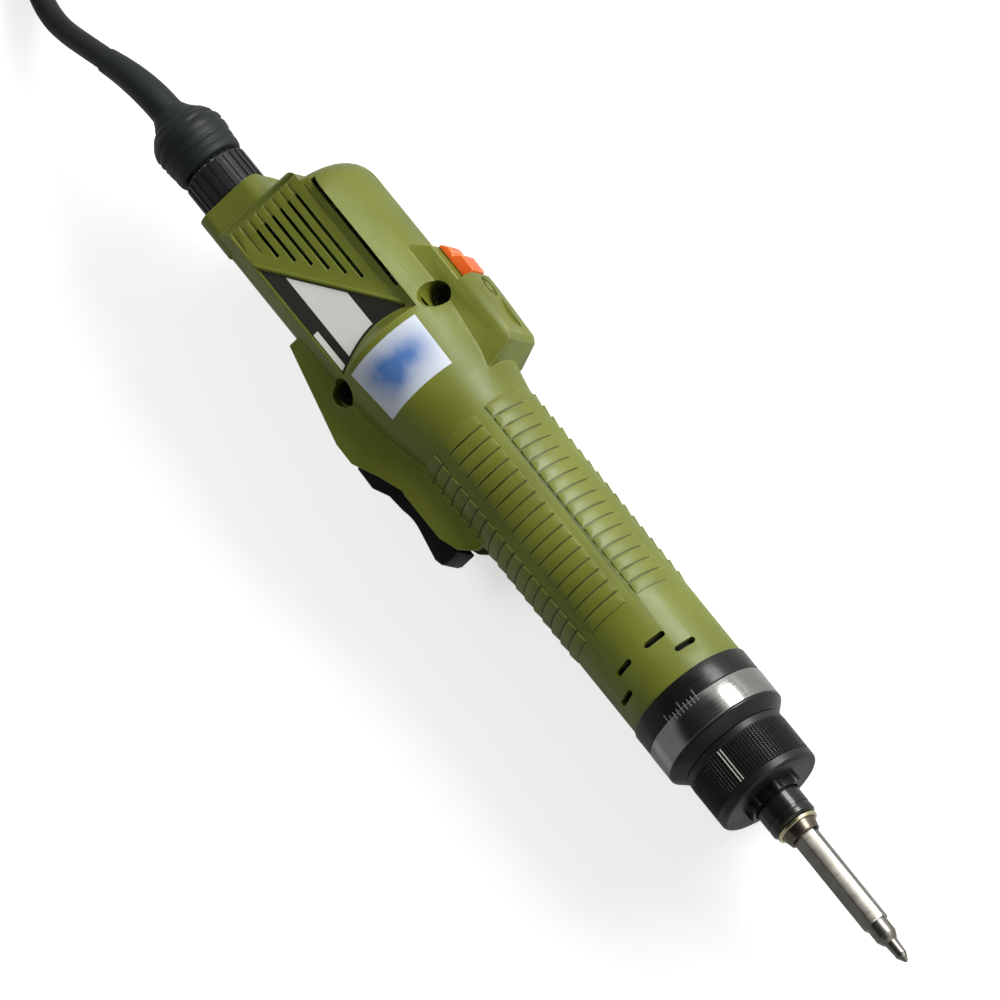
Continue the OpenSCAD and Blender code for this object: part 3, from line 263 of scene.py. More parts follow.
# Rubber: paler bloom in patches, fine drag marks and an uneven sheen.
rubber_skin, taken, given = node_group(
    "rubber_skin",
    [("Colour", "NodeSocketColor", paint(30, 32, 33)), ("Bloom", "NodeSocketColor", paint(70, 76, 77)),
     ("Roughness", "NodeSocketFloat", 0.5)],
    [("Colour", "NodeSocketColor"), ("Roughness", "NodeSocketFloat"), ("Height", "NodeSocketFloat")],
)
patches = noise(rubber_skin, 90, 4)
grain = noise(rubber_skin, 1800, 3)
rubber_skin.links.new(
    blended(
        rubber_skin, span(rubber_skin, patches, 0.35, 0.75, 0.0, 0.45),
        taken.outputs["Colour"], taken.outputs["Bloom"],
    ),
    given.inputs["Colour"],
)
rubber_skin.links.new(
    sum_of(rubber_skin, taken.outputs["Roughness"], span(rubber_skin, patches, 0.3, 0.7, -0.06, 0.1)),
    given.inputs["Roughness"],
)
rubber_skin.links.new(
    sum_of(rubber_skin, grain, sum_of(rubber_skin, patches, 2.0, "MULTIPLY")), given.inputs["Height"]
)


def skin(name, group, values, bump=None, metal=0.0, coat=0.0, specular=0.5):
    """A material whose colour, roughness and bump come from a group."""
    made, shader = finish(name, (0.5, 0.5, 0.5, 1), 0.5, metal)
    shader.inputs["Specular IOR Level"].default_value = specular
    tree = made.node_tree
    used = tree.nodes.new("ShaderNodeGroup")
    used.node_tree = group
    for label, value in values.items():
        used.inputs[label].default_value = value
    tree.links.new(used.outputs["Colour"], shader.inputs["Base Color"])
    tree.links.new(used.outputs["Roughness"], shader.inputs["Roughness"])
    if bump:
        strength, depth = bump
        lift = tree.nodes.new("ShaderNodeBump")
        lift.inputs["Strength"].default_value = strength
        lift.inputs["Distance"].default_value = depth
        tree.links.new(used.outputs["Height"], lift.inputs["Height"])
        tree.links.new(lift.outputs["Normal"], shader.inputs["Normal"])
    shader.inputs["Coat Weight"].default_value = coat
    return made


def dress(material, *names):
    """Gives CAD nodes their finish."""
    for name in names:
        nodes[name].data.materials.clear()
        nodes[name].data.materials.append(material)


cord_rubber = skin(
    "cord_rubber", rubber_skin,
    {"Colour": paint(20, 22, 22), "Bloom": paint(40, 45, 45), "Roughness": 0.5},
    bump=(0.35, 0.0001), specular=0.3,
)

CORD_D = 6.0
COIL_MID = (-313, -25)
FLOOR = -20.6
LEAD = [
    (-228.9, -15.2, -5.4), (-236, -17.6, -8), (-242, -19.8, -10.8), (-248, -21.4, -13.6),
    (-254, -21.6, -15.9), (-260, -20.6, -17.2), (-266, -17.6, -17.6), (-271.5, -12, -17.6),
    (-275.5, -5, -17.6),
]
# from the coil's middle, up on to its top where the far plug lies
TAIL = [
    (10.1, 37.7, -5.6), (2.7, 39.2, -4.8), (-4.8, 39.2, -3), (-12.1, 37.4, -0.8),
    (-18.7, 33.8, 1.4), (-24, 28.7, 3.4), (-28.3, 23.1, 4.7), (-30.3, 18.2, 5.05),
    (-30.3, 14, 5.05),
]
# Each turn lies in one slot, given as radius and height; the cord moves to
# the next slot over CROSSING degrees, earlier where the way turns a corner.
SLOTS = [(39, 3), (33, 3), (27, 3), (27, 9), (27, 15), (33, 15), (33, 9), (39, 9), (39, 15)]
CROSSING = 40
crossings = []
turned_to = 300
for k in range(1, len(SLOTS)):
    if k > 1:
        came = (SLOTS[k - 1][0] - SLOTS[k - 2][0], SLOTS[k - 1][1] - SLOTS[k - 2][1])
        goes = (SLOTS[k][0] - SLOTS[k - 1][0], SLOTS[k][1] - SLOTS[k - 1][1])
        turned_to += 360 if came == goes else 360 - CROSSING
    crossings.append(turned_to)
route = [Vector(p) for p in LEAD]
for degrees in range(45, 75 + 8 * 360 - 5, 15):
    r, h = SLOTS[0]
    for k, begin in enumerate(crossings):
        s = min(1, max(0, (degrees - begin) / CROSSING))
        s = s * s * (3 - 2 * s)
        r += (SLOTS[k + 1][0] - SLOTS[k][0]) * s
        h += (SLOTS[k + 1][1] - SLOTS[k][1]) * s
    a = math.radians(degrees)
    route.append(Vector((COIL_MID[0] + r * math.cos(a), COIL_MID[1] + r * math.sin(a), FLOOR + h)))
route += [Vector((COIL_MID[0] + p[0], COIL_MID[1] + p[1], p[2])) for p in TAIL]

cord_line = bpy.data.curves.new("supply_cord", "CURVE")
cord_line.dimensions = "3D"
cord_line.bevel_depth = CORD_D / 2 * MM
cord_line.bevel_resolution = 5
cord_line.resolution_u = 3
cord_line.use_fill_caps = True
spline = cord_line.splines.new("NURBS")
spline.points.add(len(route) - 1)
for point, p in zip(spline.points, route):
    point.co = (*place(*p), 1)
spline.order_u = 4
spline.use_endpoint_u = True
cord_line.materials.append(cord_rubber)
supply_cord = bpy.data.objects.new("supply_cord", cord_line)
scene.collection.objects.link(supply_cord)
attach(supply_cord, "tool")
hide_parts("cord_lead", "cord_coil", "cord_tail")

# ------------------------------------------------------------ cable boot
# One soft rubber moulding: a bulb that hides the cord's clamp, and a tail
# that keeps the cord from kinking. The bulb is creased where it is squeezed.
TOOL = Matrix.Translation(place(0, 0, 0)) @ Matrix.Scale(MM, 4)
CONNECTOR_Y = -10.3
BOOT_REAR = -204.9
BOOT_LEN = 18
# x behind the nut, y, z and radius of each station along the boot
BOOT_RUN = [
    (BOOT_REAR + x, CONNECTOR_Y, 0, r)
    for x, r in (
        (BOOT_LEN - 0.1, 7.9), (BOOT_LEN - 0.5, 8.9), (BOOT_LEN - 1.8, 9.3), (BOOT_LEN - 4.5, 9.5),
        (10.5, 9.9), (7.6, 9.85), (4.6, 8.6), (1.6, 5.9), (-0.4, 4.7), (-1.7, 4.3),
    )
] + [
    (BOOT_REAR - 6, -10.6, -0.3, 4.2), (BOOT_REAR - 12, -11.6, -1.3, 4.0),
    (BOOT_REAR - 18, -13.2, -3.1, 3.7), (BOOT_REAR - 23.8, -15.2, -5.3, 3.38),
]


def through(points, pieces):
    """The given points and more between them, on a curve that passes through all."""
    points = [Vector(p) for p in points]
    ends = [points[0]] + points + [points[-1]]
    run = []
    for a, b, c, d in zip(ends, ends[1:], ends[2:], ends[3:]):
        for k in range(pieces):
            t = k / pieces
            run.append(
                b + (c - a) * (t / 2) + (2 * a - 5 * b + 4 * c - d) * (t * t / 2)
                + (3 * b - a - 3 * c + d) * (t ** 3 / 2)
            )
    return run + [points[-1]]


def fitted(piece, body, slot_name, *names):
    """Puts a piece on its body, in place of CAD nodes; slot_name is not used."""
    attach(piece, body)
    if names:
        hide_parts(*names)
    return piece


stations = through(BOOT_RUN, 7)
boot = bmesh.new()
ring = bmesh.ops.create_circle(boot, segments=80, radius=1)["verts"]
edges = boot.edges[:]
bmesh.ops.edgeloop_fill(boot, edges=edges)
seat = Matrix.Identity(4)
for k, station in enumerate(stations):
    ahead = stations[min(k + 1, len(stations) - 1)] - stations[max(k - 1, 0)]
    turn = ahead.to_3d().to_track_quat("Z", "Y").to_matrix().to_4x4()
    next_seat = TOOL @ Matrix.Translation(station.to_3d()) @ turn @ Matrix.Scale(station.w, 4)
    if k:
        grown = bmesh.ops.extrude_edge_only(boot, edges=edges)["geom"]
        ring = [g for g in grown if isinstance(g, bmesh.types.BMVert)]
        edges = [g for g in grown if isinstance(g, bmesh.types.BMEdge)]
    bmesh.ops.transform(boot, matrix=next_seat @ seat.inverted(), verts=ring)
    seat = next_seat
bmesh.ops.edgeloop_fill(boot, edges=edges)
bmesh.ops.recalc_face_normals(boot, faces=boot.faces)
# creases that bow towards the cord: x, bow, depth and half width
CREASES = [(-190.2, 0.6, 0.5, 0.42), (-192.6, 1.5, 0.75, 0.5), (-195.0, 1.9, 0.6, 0.42),
           (-197.2, 2.2, 0.8, 0.55), (-200.0, 1.4, 0.6, 0.5), (-202.4, 0.8, 0.4, 0.45)]
boot.normal_update()
creased = {}
for point in boot.verts:
    x = (point.co.x - GRIP_FRONT) / MM
    turn = math.atan2(point.co.y - AXIS_Y - CONNECTOR_Y * MM, point.co.z - AXIS_Z)
    depth = 0
    for k, (at, bow, deep, wide) in enumerate(CREASES):
        off = x - at - bow * math.sin(turn + 1.1 * k) * 0.5 - 0.25 * math.sin(3 * turn + 2 * k)
        depth += deep * (0.6 + 0.4 * math.sin(turn * 2 + 1.7 * k)) * math.exp(-((off / wide) ** 2))
    creased[point] = point.normal * depth * MM
for point, by in creased.items():
    point.co -= by
boot_rubber = skin(
    "boot_rubber", rubber_skin,
    {"Colour": paint(20, 24, 24), "Bloom": paint(38, 45, 45), "Roughness": 0.5},
    bump=(0.4, 0.00012), specular=0.3,
)
fitted(shown("rubber_boot", boot, boot_rubber, 60), "tool", "rubber", "cable_boot")

# --------------------------------------------------------- rear connector
# Screwed round connector: a socket in the housing's rear boss, the cord's
# plug with six gilt contacts, and a ribbed nut of black nylon that joins them.

# Moulded plastic: spark-eroded grain, slow changes of tone, handled patches
# that shine more, paler rounded edges, and painted shade in the grooves.
moulded_skin, taken, given = node_group(
    "moulded_skin",
    [("Colour", "NodeSocketColor", paint(40, 40, 38)), ("Shade", "NodeSocketColor", paint(30, 30, 28)),
     ("Worn", "NodeSocketColor", paint(90, 92, 90)), ("Roughness", "NodeSocketFloat", 0.42),
     ("Wear", "NodeSocketFloat", 0.6), ("GrooveShade", "NodeSocketFloat", 0.0)],
    [("Colour", "NodeSocketColor"), ("Roughness", "NodeSocketFloat"), ("Height", "NodeSocketFloat")],
)
# A dark olive that is painted into the rib grooves as shade.
GROOVE_SHADE = paint(24, 26, 8)
tone = noise(moulded_skin, 42, 3)
handled = noise(moulded_skin, 130, 4)
spark = noise(moulded_skin, 3200, 2)
edge = moulded_skin.nodes.new("ShaderNodeAttribute")
edge.attribute_name = "rounded"
scuffs = span(moulded_skin, noise(moulded_skin, 700, 4, (0.25, 1, 1)), 0.66, 0.74, 0.0, 0.28)
worn = sum_of(
    moulded_skin,
    sum_of(
        moulded_skin, edge.outputs["Fac"], span(moulded_skin, handled, 0.38, 0.62, 0.25, 1.0), "MULTIPLY"
    ),
    scuffs, "MAXIMUM",
)
worn = sum_of(moulded_skin, worn, taken.outputs["Wear"], "MULTIPLY")
plain = blended(
    moulded_skin, span(moulded_skin, tone, 0.35, 0.68, 0.0, 1.0),
    taken.outputs["Colour"], taken.outputs["Shade"],
)
# Faces marked as groove floors and steps blend towards it as painted shade.
groove = moulded_skin.nodes.new("ShaderNodeAttribute")
groove.attribute_name = "groove_shade"
moulded_skin.links.new(
    blended(
        moulded_skin,
        sum_of(moulded_skin, groove.outputs["Fac"], taken.outputs["GrooveShade"], "MULTIPLY"),
        blended(moulded_skin, worn, plain, taken.outputs["Worn"]), GROOVE_SHADE,
    ),
    given.inputs["Colour"],
)
moulded_skin.links.new(
    sum_of(moulded_skin, taken.outputs["Roughness"], span(moulded_skin, handled, 0.3, 0.7, 0.07, -0.07)),
    given.inputs["Roughness"],
)
moulded_skin.links.new(spark, given.inputs["Height"])

# Machined metal: turning lines across the axis and faint stains.
machined_skin, taken, given = node_group(
    "machined_skin",
    [("Colour", "NodeSocketColor", paint(190, 190, 188)),
     ("Stain", "NodeSocketColor", paint(140, 138, 132)),
     ("Roughness", "NodeSocketFloat", 0.3)],
    [("Colour", "NodeSocketColor"), ("Roughness", "NodeSocketFloat"), ("Height", "NodeSocketFloat")],
)
lines = noise(machined_skin, 2600, 3, (1, 0.03, 0.03))
stains = noise(machined_skin, 210, 4)
machined_skin.links.new(
    blended(
        machined_skin, span(machined_skin, stains, 0.4, 0.72, 0.0, 0.6),
        taken.outputs["Colour"], taken.outputs["Stain"],
    ),
    given.inputs["Colour"],
)
machined_skin.links.new(
    sum_of(machined_skin, taken.outputs["Roughness"], span(machined_skin, lines, 0.3, 0.7, -0.04, 0.08)),
    given.inputs["Roughness"],
)
machined_skin.links.new(lines, given.inputs["Height"])


def eased(
    name, node, material, slot_name, body, width, segments=2, over=32, smooth_under=30,
    fine=None, groove_shade=None
):
    """A copy of a CAD node with its sharp edges rounded, which stands for it.

    The new narrow faces are marked in the attribute "rounded". An edge stays
    sharp where a face beside it is too narrow to give room on both sides, or
    takes the fine width. Faces whose middle is in a groove are marked in an
    attribute that paints shade there."""
    shape = bmesh.new()
    shape.from_mesh(nodes[node].data)
    bmesh.ops.remove_doubles(shape, verts=shape.verts, dist=0.002 * MM)
    bmesh.ops.dissolve_limit(
        shape, angle_limit=math.radians(0.8), verts=shape.verts, edges=shape.edges
    )
    mark = shape.faces.layers.float.new("rounded")
    for offset in (width, fine) if fine else (width,):
        room = 2.3 * offset * MM
        sharp = [
            e for e in shape.edges
            if e.is_manifold and e.calc_face_angle(0) > math.radians(over)
            and e.calc_length() > room
            and min(f.calc_area() for f in e.link_faces) > room * e.calc_length()
        ]
        made = bmesh.ops.bevel(
            shape, geom=sharp, offset=offset * MM, offset_type="OFFSET", affect="EDGES",
            segments=segments, profile=0.5, material=-1, clamp_overlap=False,
        )
        for face in made["faces"]:
            face[mark] = 1.0
    bmesh.ops.triangulate(shape, faces=[f for f in shape.faces if len(f.verts) > 4])
    # Faces in the grooves are marked so that the material paints shade on them.
    if groove_shade:
        groove_shade_layer = shape.faces.layers.float.new("groove_shade")
        for face in shape.faces:
            centre = (face.calc_center_median() - place(0, 0, 0)) / MM
            face[groove_shade_layer] = float(groove_shade(*centre))
    return fitted(shown(name, shape, material, smooth_under), body, slot_name, node)


black_nylon = skin(
    "black_nylon", moulded_skin,
    {"Colour": paint(38, 40, 39), "Shade": paint(28, 30, 30), "Worn": paint(134, 140, 137),
     "Roughness": 0.4, "Wear": 0.85},
    bump=(0.1, 0.00005), specular=0.35,
)
gilt = skin(
    "gilt", machined_skin,
    {"Colour": paint(222, 186, 110), "Stain": paint(170, 130, 66), "Roughness": 0.22}, metal=1.0,
)
dress(black_nylon, "rear_socket", "plug_core")
dress(gilt, "socket_pins")
eased("coupling_ring", "coupling_nut", black_nylon, "black_plastic", "coupling_nut", 0.2, over=40)

# --------------------------------------------- circuit board and switches
# Glass fibre board with its driver, a capacitor and three coils, the slide
# switch under the knob, and the micro switch that the lever works.
board_paint, board_shader = finish("board_paint", paint(34, 92, 52), 0.4)
tree = board_paint.node_tree
place_of = tree.nodes.new("ShaderNodeTexCoord")
tracks = tree.nodes.new("ShaderNodeTexBrick")
for label, value in (("Color1", paint(30, 84, 46)), ("Color2", paint(38, 100, 58)),
                     ("Mortar", paint(74, 140, 84)), ("Scale", 420), ("Mortar Size", 0.035)):
    tracks.inputs[label].default_value = value
tree.links.new(place_of.outputs["Object"], tracks.inputs["Vector"])
tree.links.new(tracks.outputs["Color"], board_shader.inputs["Base Color"])
dress(board_paint, "circuit_board")
switch_nylon = skin(
    "switch_nylon", moulded_skin,
    {"Colour": paint(46, 46, 48), "Shade": paint(36, 36, 38), "Roughness": 0.5, "Wear": 0.2},
    bump=(0.1, 0.00005),
)
red_nylon = skin(
    "red_nylon", moulded_skin,
    {"Colour": paint(190, 34, 30), "Shade": paint(164, 26, 24), "Worn": paint(220, 110, 100),
     "Roughness": 0.4, "Wear": 0.3},
)
dress(switch_nylon, "slide_switch", "micro_switch")
dress(red_nylon, "switch_plunger")

# ----------------------------------------------------------------- motor
# Drawn steel can with a ground shaft, a moulded brush cap behind it and an
# aluminium plate that screws it to the gearbox.
can_steel = skin(
    "can_steel", machined_skin,
    {"Colour": paint(176, 178, 176), "Stain": paint(138, 138, 130), "Roughness": 0.34},
    bump=(0.1, 0.00003), metal=1.0,
)
plate_aluminium = skin(
    "plate_aluminium", machined_skin,
    {"Colour": paint(206, 208, 210), "Stain": paint(176, 178, 182), "Roughness": 0.3}, metal=1.0,
)
dress(can_steel, "motor_can")
dress(plate_aluminium, "motor_plate")
dress(black_nylon, "motor_end_cap")

# --------------------------------------------------------------- gearbox
# Hobbed and hardened steel: sun pinion on the motor's shaft, three planets on
# the carrier's pins, and the fixed ring gear they roll in.
ground_steel = skin(
    "ground_steel", machined_skin,
    {"Colour": paint(186, 186, 182), "Stain": paint(120, 112, 96), "Roughness": 0.26},
    bump=(0.12, 0.00002), metal=1.0,
)
dress(
    ground_steel, "motor_shaft", "sun_gear", "planet_gear_1", "planet_gear_2", "planet_gear_3",
    "planet_carrier", "planet_pins", "carrier_bearing", "ring_gear",
)

# ---------------------------------------------------------------- clutch
# Two hardened cam plates with balls between them, a ground thrust washer, a
# coil spring that loads them, and the bronze seat that the torque ring turns in.
ball_steel = skin(
    "ball_steel", machined_skin,
    {"Colour": paint(214, 215, 216), "Stain": paint(190, 190, 190), "Roughness": 0.1}, metal=1.0,
)
wire_steel = skin(
    "wire_steel", machined_skin,
    {"Colour": paint(150, 152, 156), "Stain": paint(96, 92, 84), "Roughness": 0.32},
    bump=(0.1, 0.00003), metal=1.0,
)
seat_bronze = skin(
    "seat_bronze", machined_skin,
    {"Colour": paint(190, 142, 84), "Stain": paint(132, 92, 52), "Roughness": 0.36},
    bump=(0.12, 0.00003), metal=1.0,
)
dress(ground_steel, "thrust_washer", "clutch_driver", "clutch_driven")
dress(ball_steel, "clutch_balls", "chuck_balls")
dress(wire_steel, "clutch_spring", "chuck_spring", "lever_spring")
dress(seat_bronze, "spring_seat")

# --------------------------------------------------------- spindle, chuck
# Hardened spindle with a hexagon socket and a browned cone mouth. A glossy
# black sleeve slides on it to free the balls, and a snap ring stops the sleeve.
browned_steel = skin(
    "browned_steel", machined_skin,
    {"Colour": paint(112, 104, 92), "Stain": paint(66, 60, 52), "Roughness": 0.26},
    bump=(0.15, 0.00003), metal=1.0,
)
eased("spindle_body", "spindle", browned_steel, "machined_steel", "spindle", 0.1, over=40)


def reach(node):
    """A node's lowest and highest corners in mm, in the tool's own axes."""
    return [(Vector(corner) - place(0, 0, 0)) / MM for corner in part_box(node)]


def lathe(name, profile, material, at=TOOL, ease=0.12, steps=128, smooth_under=32, closed=True):
    """A turned piece from stations and radii in mm, with its corners eased."""
    shape = bmesh.new()
    points = [shape.verts.new((x, 0, r)) for x, r in profile]
    for a, b in zip(points, points[1:] + points[:1] * closed):
        shape.edges.new((a, b))
    bmesh.ops.bevel(
        shape, geom=points if closed else points[1:-1], offset=ease, affect="VERTICES",
        segments=3, profile=0.5, material=-1, clamp_overlap=True,
    )
    bmesh.ops.spin(
        shape, geom=shape.verts[:] + shape.edges[:], cent=(0, 0, 0), axis=(1, 0, 0),
        angle=2 * math.pi, steps=steps, use_merge=True,
    )
    bmesh.ops.remove_doubles(shape, verts=shape.verts, dist=0.001)
    bmesh.ops.recalc_face_normals(shape, faces=shape.faces)
    bmesh.ops.transform(shape, matrix=at, verts=shape.verts)
    return shown(name, shape, material, smooth_under)


gloss_black = skin(
    "gloss_black", machined_skin,
    {"Colour": paint(22, 21, 18), "Stain": paint(16, 15, 13), "Roughness": 0.16},
    specular=0.4,
)
SLEEVE_BORE = 5.05
SLEEVE_GROOVE = (3.1, 2.3, 0.35)
low, high = reach("chuck_sleeve")
sleeve_r = (high.y - low.y) / 2
groove_rear, groove_front, groove_d = SLEEVE_GROOVE
sleeve = lathe(
    "chuck_collet_sleeve",
    [
        (low.x, SLEEVE_BORE + 0.6), (low.x, sleeve_r), (high.x - groove_rear, sleeve_r),
        (high.x - groove_rear, sleeve_r - groove_d), (high.x - groove_front, sleeve_r - groove_d),
        (high.x - groove_front, sleeve_r), (high.x - 0.7, sleeve_r), (high.x, sleeve_r - 0.6),
        (high.x, SLEEVE_BORE + 0.6),
    ],
    gloss_black, ease=0.1,
)
fitted(sleeve, "chuck_sleeve", "black_satin", "chuck_sleeve")

pale_brass = skin(
    "pale_brass", machined_skin,
    {"Colour": paint(206, 198, 160), "Stain": paint(150, 138, 104), "Roughness": 0.22}, metal=1.0,
)
low, high = reach("retaining_ring")
ring_r = (high.y - low.y) / 2
snap = lathe(
    "snap_ring",
    [(low.x, 4.93), (low.x, ring_r), (high.x, ring_r - 0.1), (high.x, 4.93)],
    pale_brass, ease=0.25,
)
fitted(snap, "spindle", "pale_ring", "retaining_ring")

# ------------------------------------------------------------ driver bit
# Hexagon bar of nickel plated tool steel, turned down to a neck and a
# cross point with four ground flutes.
bit_steel = skin(
    "bit_steel", machined_skin,
    {"Colour": paint(136, 134, 126), "Stain": paint(108, 104, 94), "Roughness": 0.3},
    bump=(0.1, 0.00002), metal=1.0,
)
eased("cross_point_bit", "driver_bit", bit_steel, "polished_steel", "spindle", 0.14, over=24)

# -------------------------------------------------------------- housing
# Two half shells of olive green nylon, moulded with ribs, louvres, the
# switch pod and the lever's guard. Their edges are softly rounded.
shell_plastic = skin(
    "shell_plastic", moulded_skin,
    {"Colour": paint(108, 116, 38), "Shade": paint(94, 101, 27), "Worn": paint(146, 150, 84),
     # The grooves between the ribs are painted darker here, as shade.
     "Roughness": 0.44, "Wear": 0.5, "GrooveShade": 0.55},
    bump=(0.12, 0.00006), specular=0.42,
)
RIB_X = (-87.2, -23.0)
RIB_PITCH, RIB_GROOVE = 3.72, 0.6
RIB_FIRST = -86.8
GRIP_R = 16.7
# middle and half angle of each panel of ribs, and the floors' slack
RIB_PANELS = ((0, 21.5), (50, 19.5))
FLOOR_SLACK, SEAM_SLACK = 0.5, 0.12


def in_rib_groove(x, y, z):
    """Whether a point on the grip lies between two ribs of a panel."""
    turn = abs(math.degrees(math.atan2(y, z)))
    turn = min(turn, 180 - turn)
    return (
        RIB_X[0] < x < RIB_X[1]
        and math.hypot(y, z) < GRIP_R + FLOOR_SLACK
        and (x - RIB_FIRST) % RIB_PITCH > RIB_PITCH - RIB_GROOVE - SEAM_SLACK
        and any(abs(turn - middle_turn) < half for middle_turn, half in RIB_PANELS)
    )


# Each shell marks its rib grooves, which take painted shade.
for half in ("upper", "lower"):
    eased(
        half + "_shell", half + "_housing", shell_plastic, "green_shell", "tool", 0.22,
        fine=0.08, groove_shade=in_rib_groove,
    )

# -------------------------------------------------------- housing screws
# Two steel screws with cross slots sit deep in their holes and clamp the
# lower shell to the upper one.
# The screws are painted near black as shade, for the dark of the deep holes they sit in.
screw_shade_dark = skin(
    "screw_shade_dark", machined_skin,
    {"Colour": paint(46, 46, 44), "Stain": paint(30, 29, 27), "Roughness": 0.45},
    bump=(0.1, 0.00003), metal=1.0,
)
dress(screw_shade_dark, "housing_screws")

# ------------------------------------------------------------ name plate
# A bare three-cornered plate of black lacquered aluminium, glued into the
# panel's recess, with a white field and a white strip printed on it.
PLATE_FLOOR = 14.02
PLATE_TOP = 14.34
SHOULDER_REAR = -122.07
SHOULDER_SLOPE = 1.5
PANEL_Z = 14.5
RECESS_LOW, RECESS_TOP = (-154.5, -14.2), (-121.27, 9.4)


def shoulder_x(y, z):
    """Where the sloped shoulder in front of the panel meets a height y and z."""
    return SHOULDER_REAR + (math.hypot(y, z) - PANEL_Z) / SHOULDER_SLOPE


def diagonal_x(y):
    """Where the recess's rear edge runs at a height y."""
    share = (y - RECESS_LOW[1]) / (RECESS_TOP[1] - RECESS_LOW[1])
    return RECESS_LOW[0] + share * (RECESS_TOP[0] - RECESS_LOW[0])


def film(name, heights_y, rear_gap, front_gap, bottom, top, material, from_x=None):
    """A thin plate between two heights, from the diagonal to the shoulder."""
    low_y, top_y = heights_y
    shape = bmesh.new()
    heights = [low_y + (top_y - low_y) * k / 12 for k in range(13)]
    rear = [(max(diagonal_x(y) + rear_gap, from_x or -1000), y) for y in (top_y, low_y)]
    front = [(shoulder_x(y, PLATE_TOP) - front_gap, y) for y in heights]
    outline = [shape.verts.new((x, y, bottom)) for x, y in rear + front]
    face = shape.faces.new(outline)
    grown = bmesh.ops.extrude_face_region(shape, geom=[face])["geom"]
    lifted = [g for g in grown if isinstance(g, bmesh.types.BMVert)]
    bmesh.ops.translate(shape, vec=(0, 0, top - bottom), verts=lifted)
    bmesh.ops.recalc_face_normals(shape, faces=shape.faces)
    bmesh.ops.transform(shape, matrix=TOOL, verts=shape.verts)
    piece = shown(name, shape, material, 30)
    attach(piece, "tool")


plate_black = skin(
    "plate_black", moulded_skin,
    {"Colour": paint(42, 42, 38), "Shade": paint(34, 34, 30), "Worn": paint(90, 92, 80),
     "Roughness": 0.36, "Wear": 0.25},
    specular=0.4,
)
plate_white = skin(
    "plate_white", moulded_skin,
    {"Colour": paint(216, 220, 212), "Shade": paint(206, 211, 202), "Worn": paint(190, 194, 186),
     "Roughness": 0.4, "Wear": 0.4},
)
PRINT = 0.04
film("name_plate", (-14.0, 8.6), 0.45, 0.25, PLATE_FLOOR, PLATE_TOP, plate_black)
for name, heights_y, from_x in (
    ("plate_field", (-10.0, -0.1), None), ("plate_strip", (-13.8, -12.3), -131.5)
):
    film(
        name, heights_y, 1.0, 0.9, PLATE_TOP, PLATE_TOP + PRINT, plate_white,
        from_x,
    )

# --------------------------------------------------------------- sticker
# A bare vinyl sticker, white with soft pale blue patches, rolled on to the
# round of the body just in front of the panel.
STICKER_X = (-116.2, -100.5)
STICKER_TURN = (-35.5, 31.0)
STICKER_LIFT, STICKER_THICK = 0.05, 0.06
CAST_FROM = 0.04
sticker_vinyl, sticker_shader = finish("sticker_vinyl", paint(206, 213, 222), 0.42)
tree = sticker_vinyl.node_tree
tinted = tree.nodes.new("ShaderNodeAttribute")
tinted.attribute_name = "tint"
tree.links.new(
    blended(
        tree,
        sum_of(
            tree, tinted.outputs["Fac"],
            span(tree, noise(tree, 240, 2), 0.2, 0.8, 0.75, 1.15), "MULTIPLY",
        ),
        paint(202, 208, 216), paint(78, 118, 178),
    ),
    sticker_shader.inputs["Base Color"],
)
# along the body, round it, spread and strength of each soft patch
PATCHES = ((-0.1, 0.3, 0.6, 0.95), (-0.3, -0.4, 0.45, 0.85), (0.4, -0.3, 0.38, 0.7))
shell_shape = bmesh.new()
shell_shape.from_mesh(nodes["upper_housing"].data)
shell_skin = BVHTree.FromBMesh(shell_shape)
sticker = bmesh.new()
bmesh.ops.create_grid(sticker, x_segments=24, y_segments=36, size=1)
tint = sticker.verts.layers.float.new("tint")
for point in sticker.verts:
    u, v = point.co.xy
    point[tint] = sum(
        strength * math.exp(-((u - at_u) ** 2 + (v - at_v) ** 2) / spread ** 2)
        for at_u, at_v, spread, strength in PATCHES
    )
    x = (STICKER_X[0] + STICKER_X[1]) / 2 + point.co.x * (STICKER_X[1] - STICKER_X[0]) / 2
    a = math.radians(
        (STICKER_TURN[0] + STICKER_TURN[1]) / 2 + point.co.y * (STICKER_TURN[1] - STICKER_TURN[0]) / 2
    )
    out = Vector((0, math.sin(a), math.cos(a)))
    hit = shell_skin.ray_cast(place(x, 0, 0) + out * CAST_FROM, -out)[0]
    point.co = hit + out * STICKER_LIFT * MM
shell_shape.free()
bmesh.ops.recalc_face_normals(sticker, faces=sticker.faces)
if sum(f.normal.z for f in sticker.faces) < 0:
    bmesh.ops.reverse_faces(sticker, faces=sticker.faces)
bmesh.ops.solidify(sticker, geom=sticker.faces[:], thickness=-STICKER_THICK * MM)
piece = shown("vinyl_sticker", sticker, sticker_vinyl, 40)
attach(piece, "tool")

# ----------------------------------------------------------------- lever
# The start lever is one black nylon moulding. It turns on a steel pin in the
# guard, and its rib presses the micro switch through a window in the shell.
lever_nylon = skin(
    "lever_nylon", moulded_skin,
    {"Colour": paint(24, 24, 23), "Shade": paint(18, 18, 17), "Worn": paint(70, 72, 70),
     "Roughness": 0.38, "Wear": 0.35},
    bump=(0.08, 0.00004), specular=0.3,
)
eased("start_lever", "lever", lever_nylon, "black_plastic", "lever", 0.35, segments=3)
dress(ground_steel, "lever_pin")

# ------------------------------------------------------------ slide knob
# The forward and reverse switch has a stepped knob of orange nylon that
# slides along the pod's deck.
knob_nylon = skin(
    "knob_nylon", moulded_skin,
    {"Colour": paint(230, 100, 26), "Shade": paint(220, 88, 18), "Worn": paint(250, 160, 96),
     "Roughness": 0.38, "Wear": 0.5},
    bump=(0.08, 0.00004),
)
eased("slide_knob", "switch_knob", knob_nylon, "orange_plastic", "knob", 0.25, segments=3)

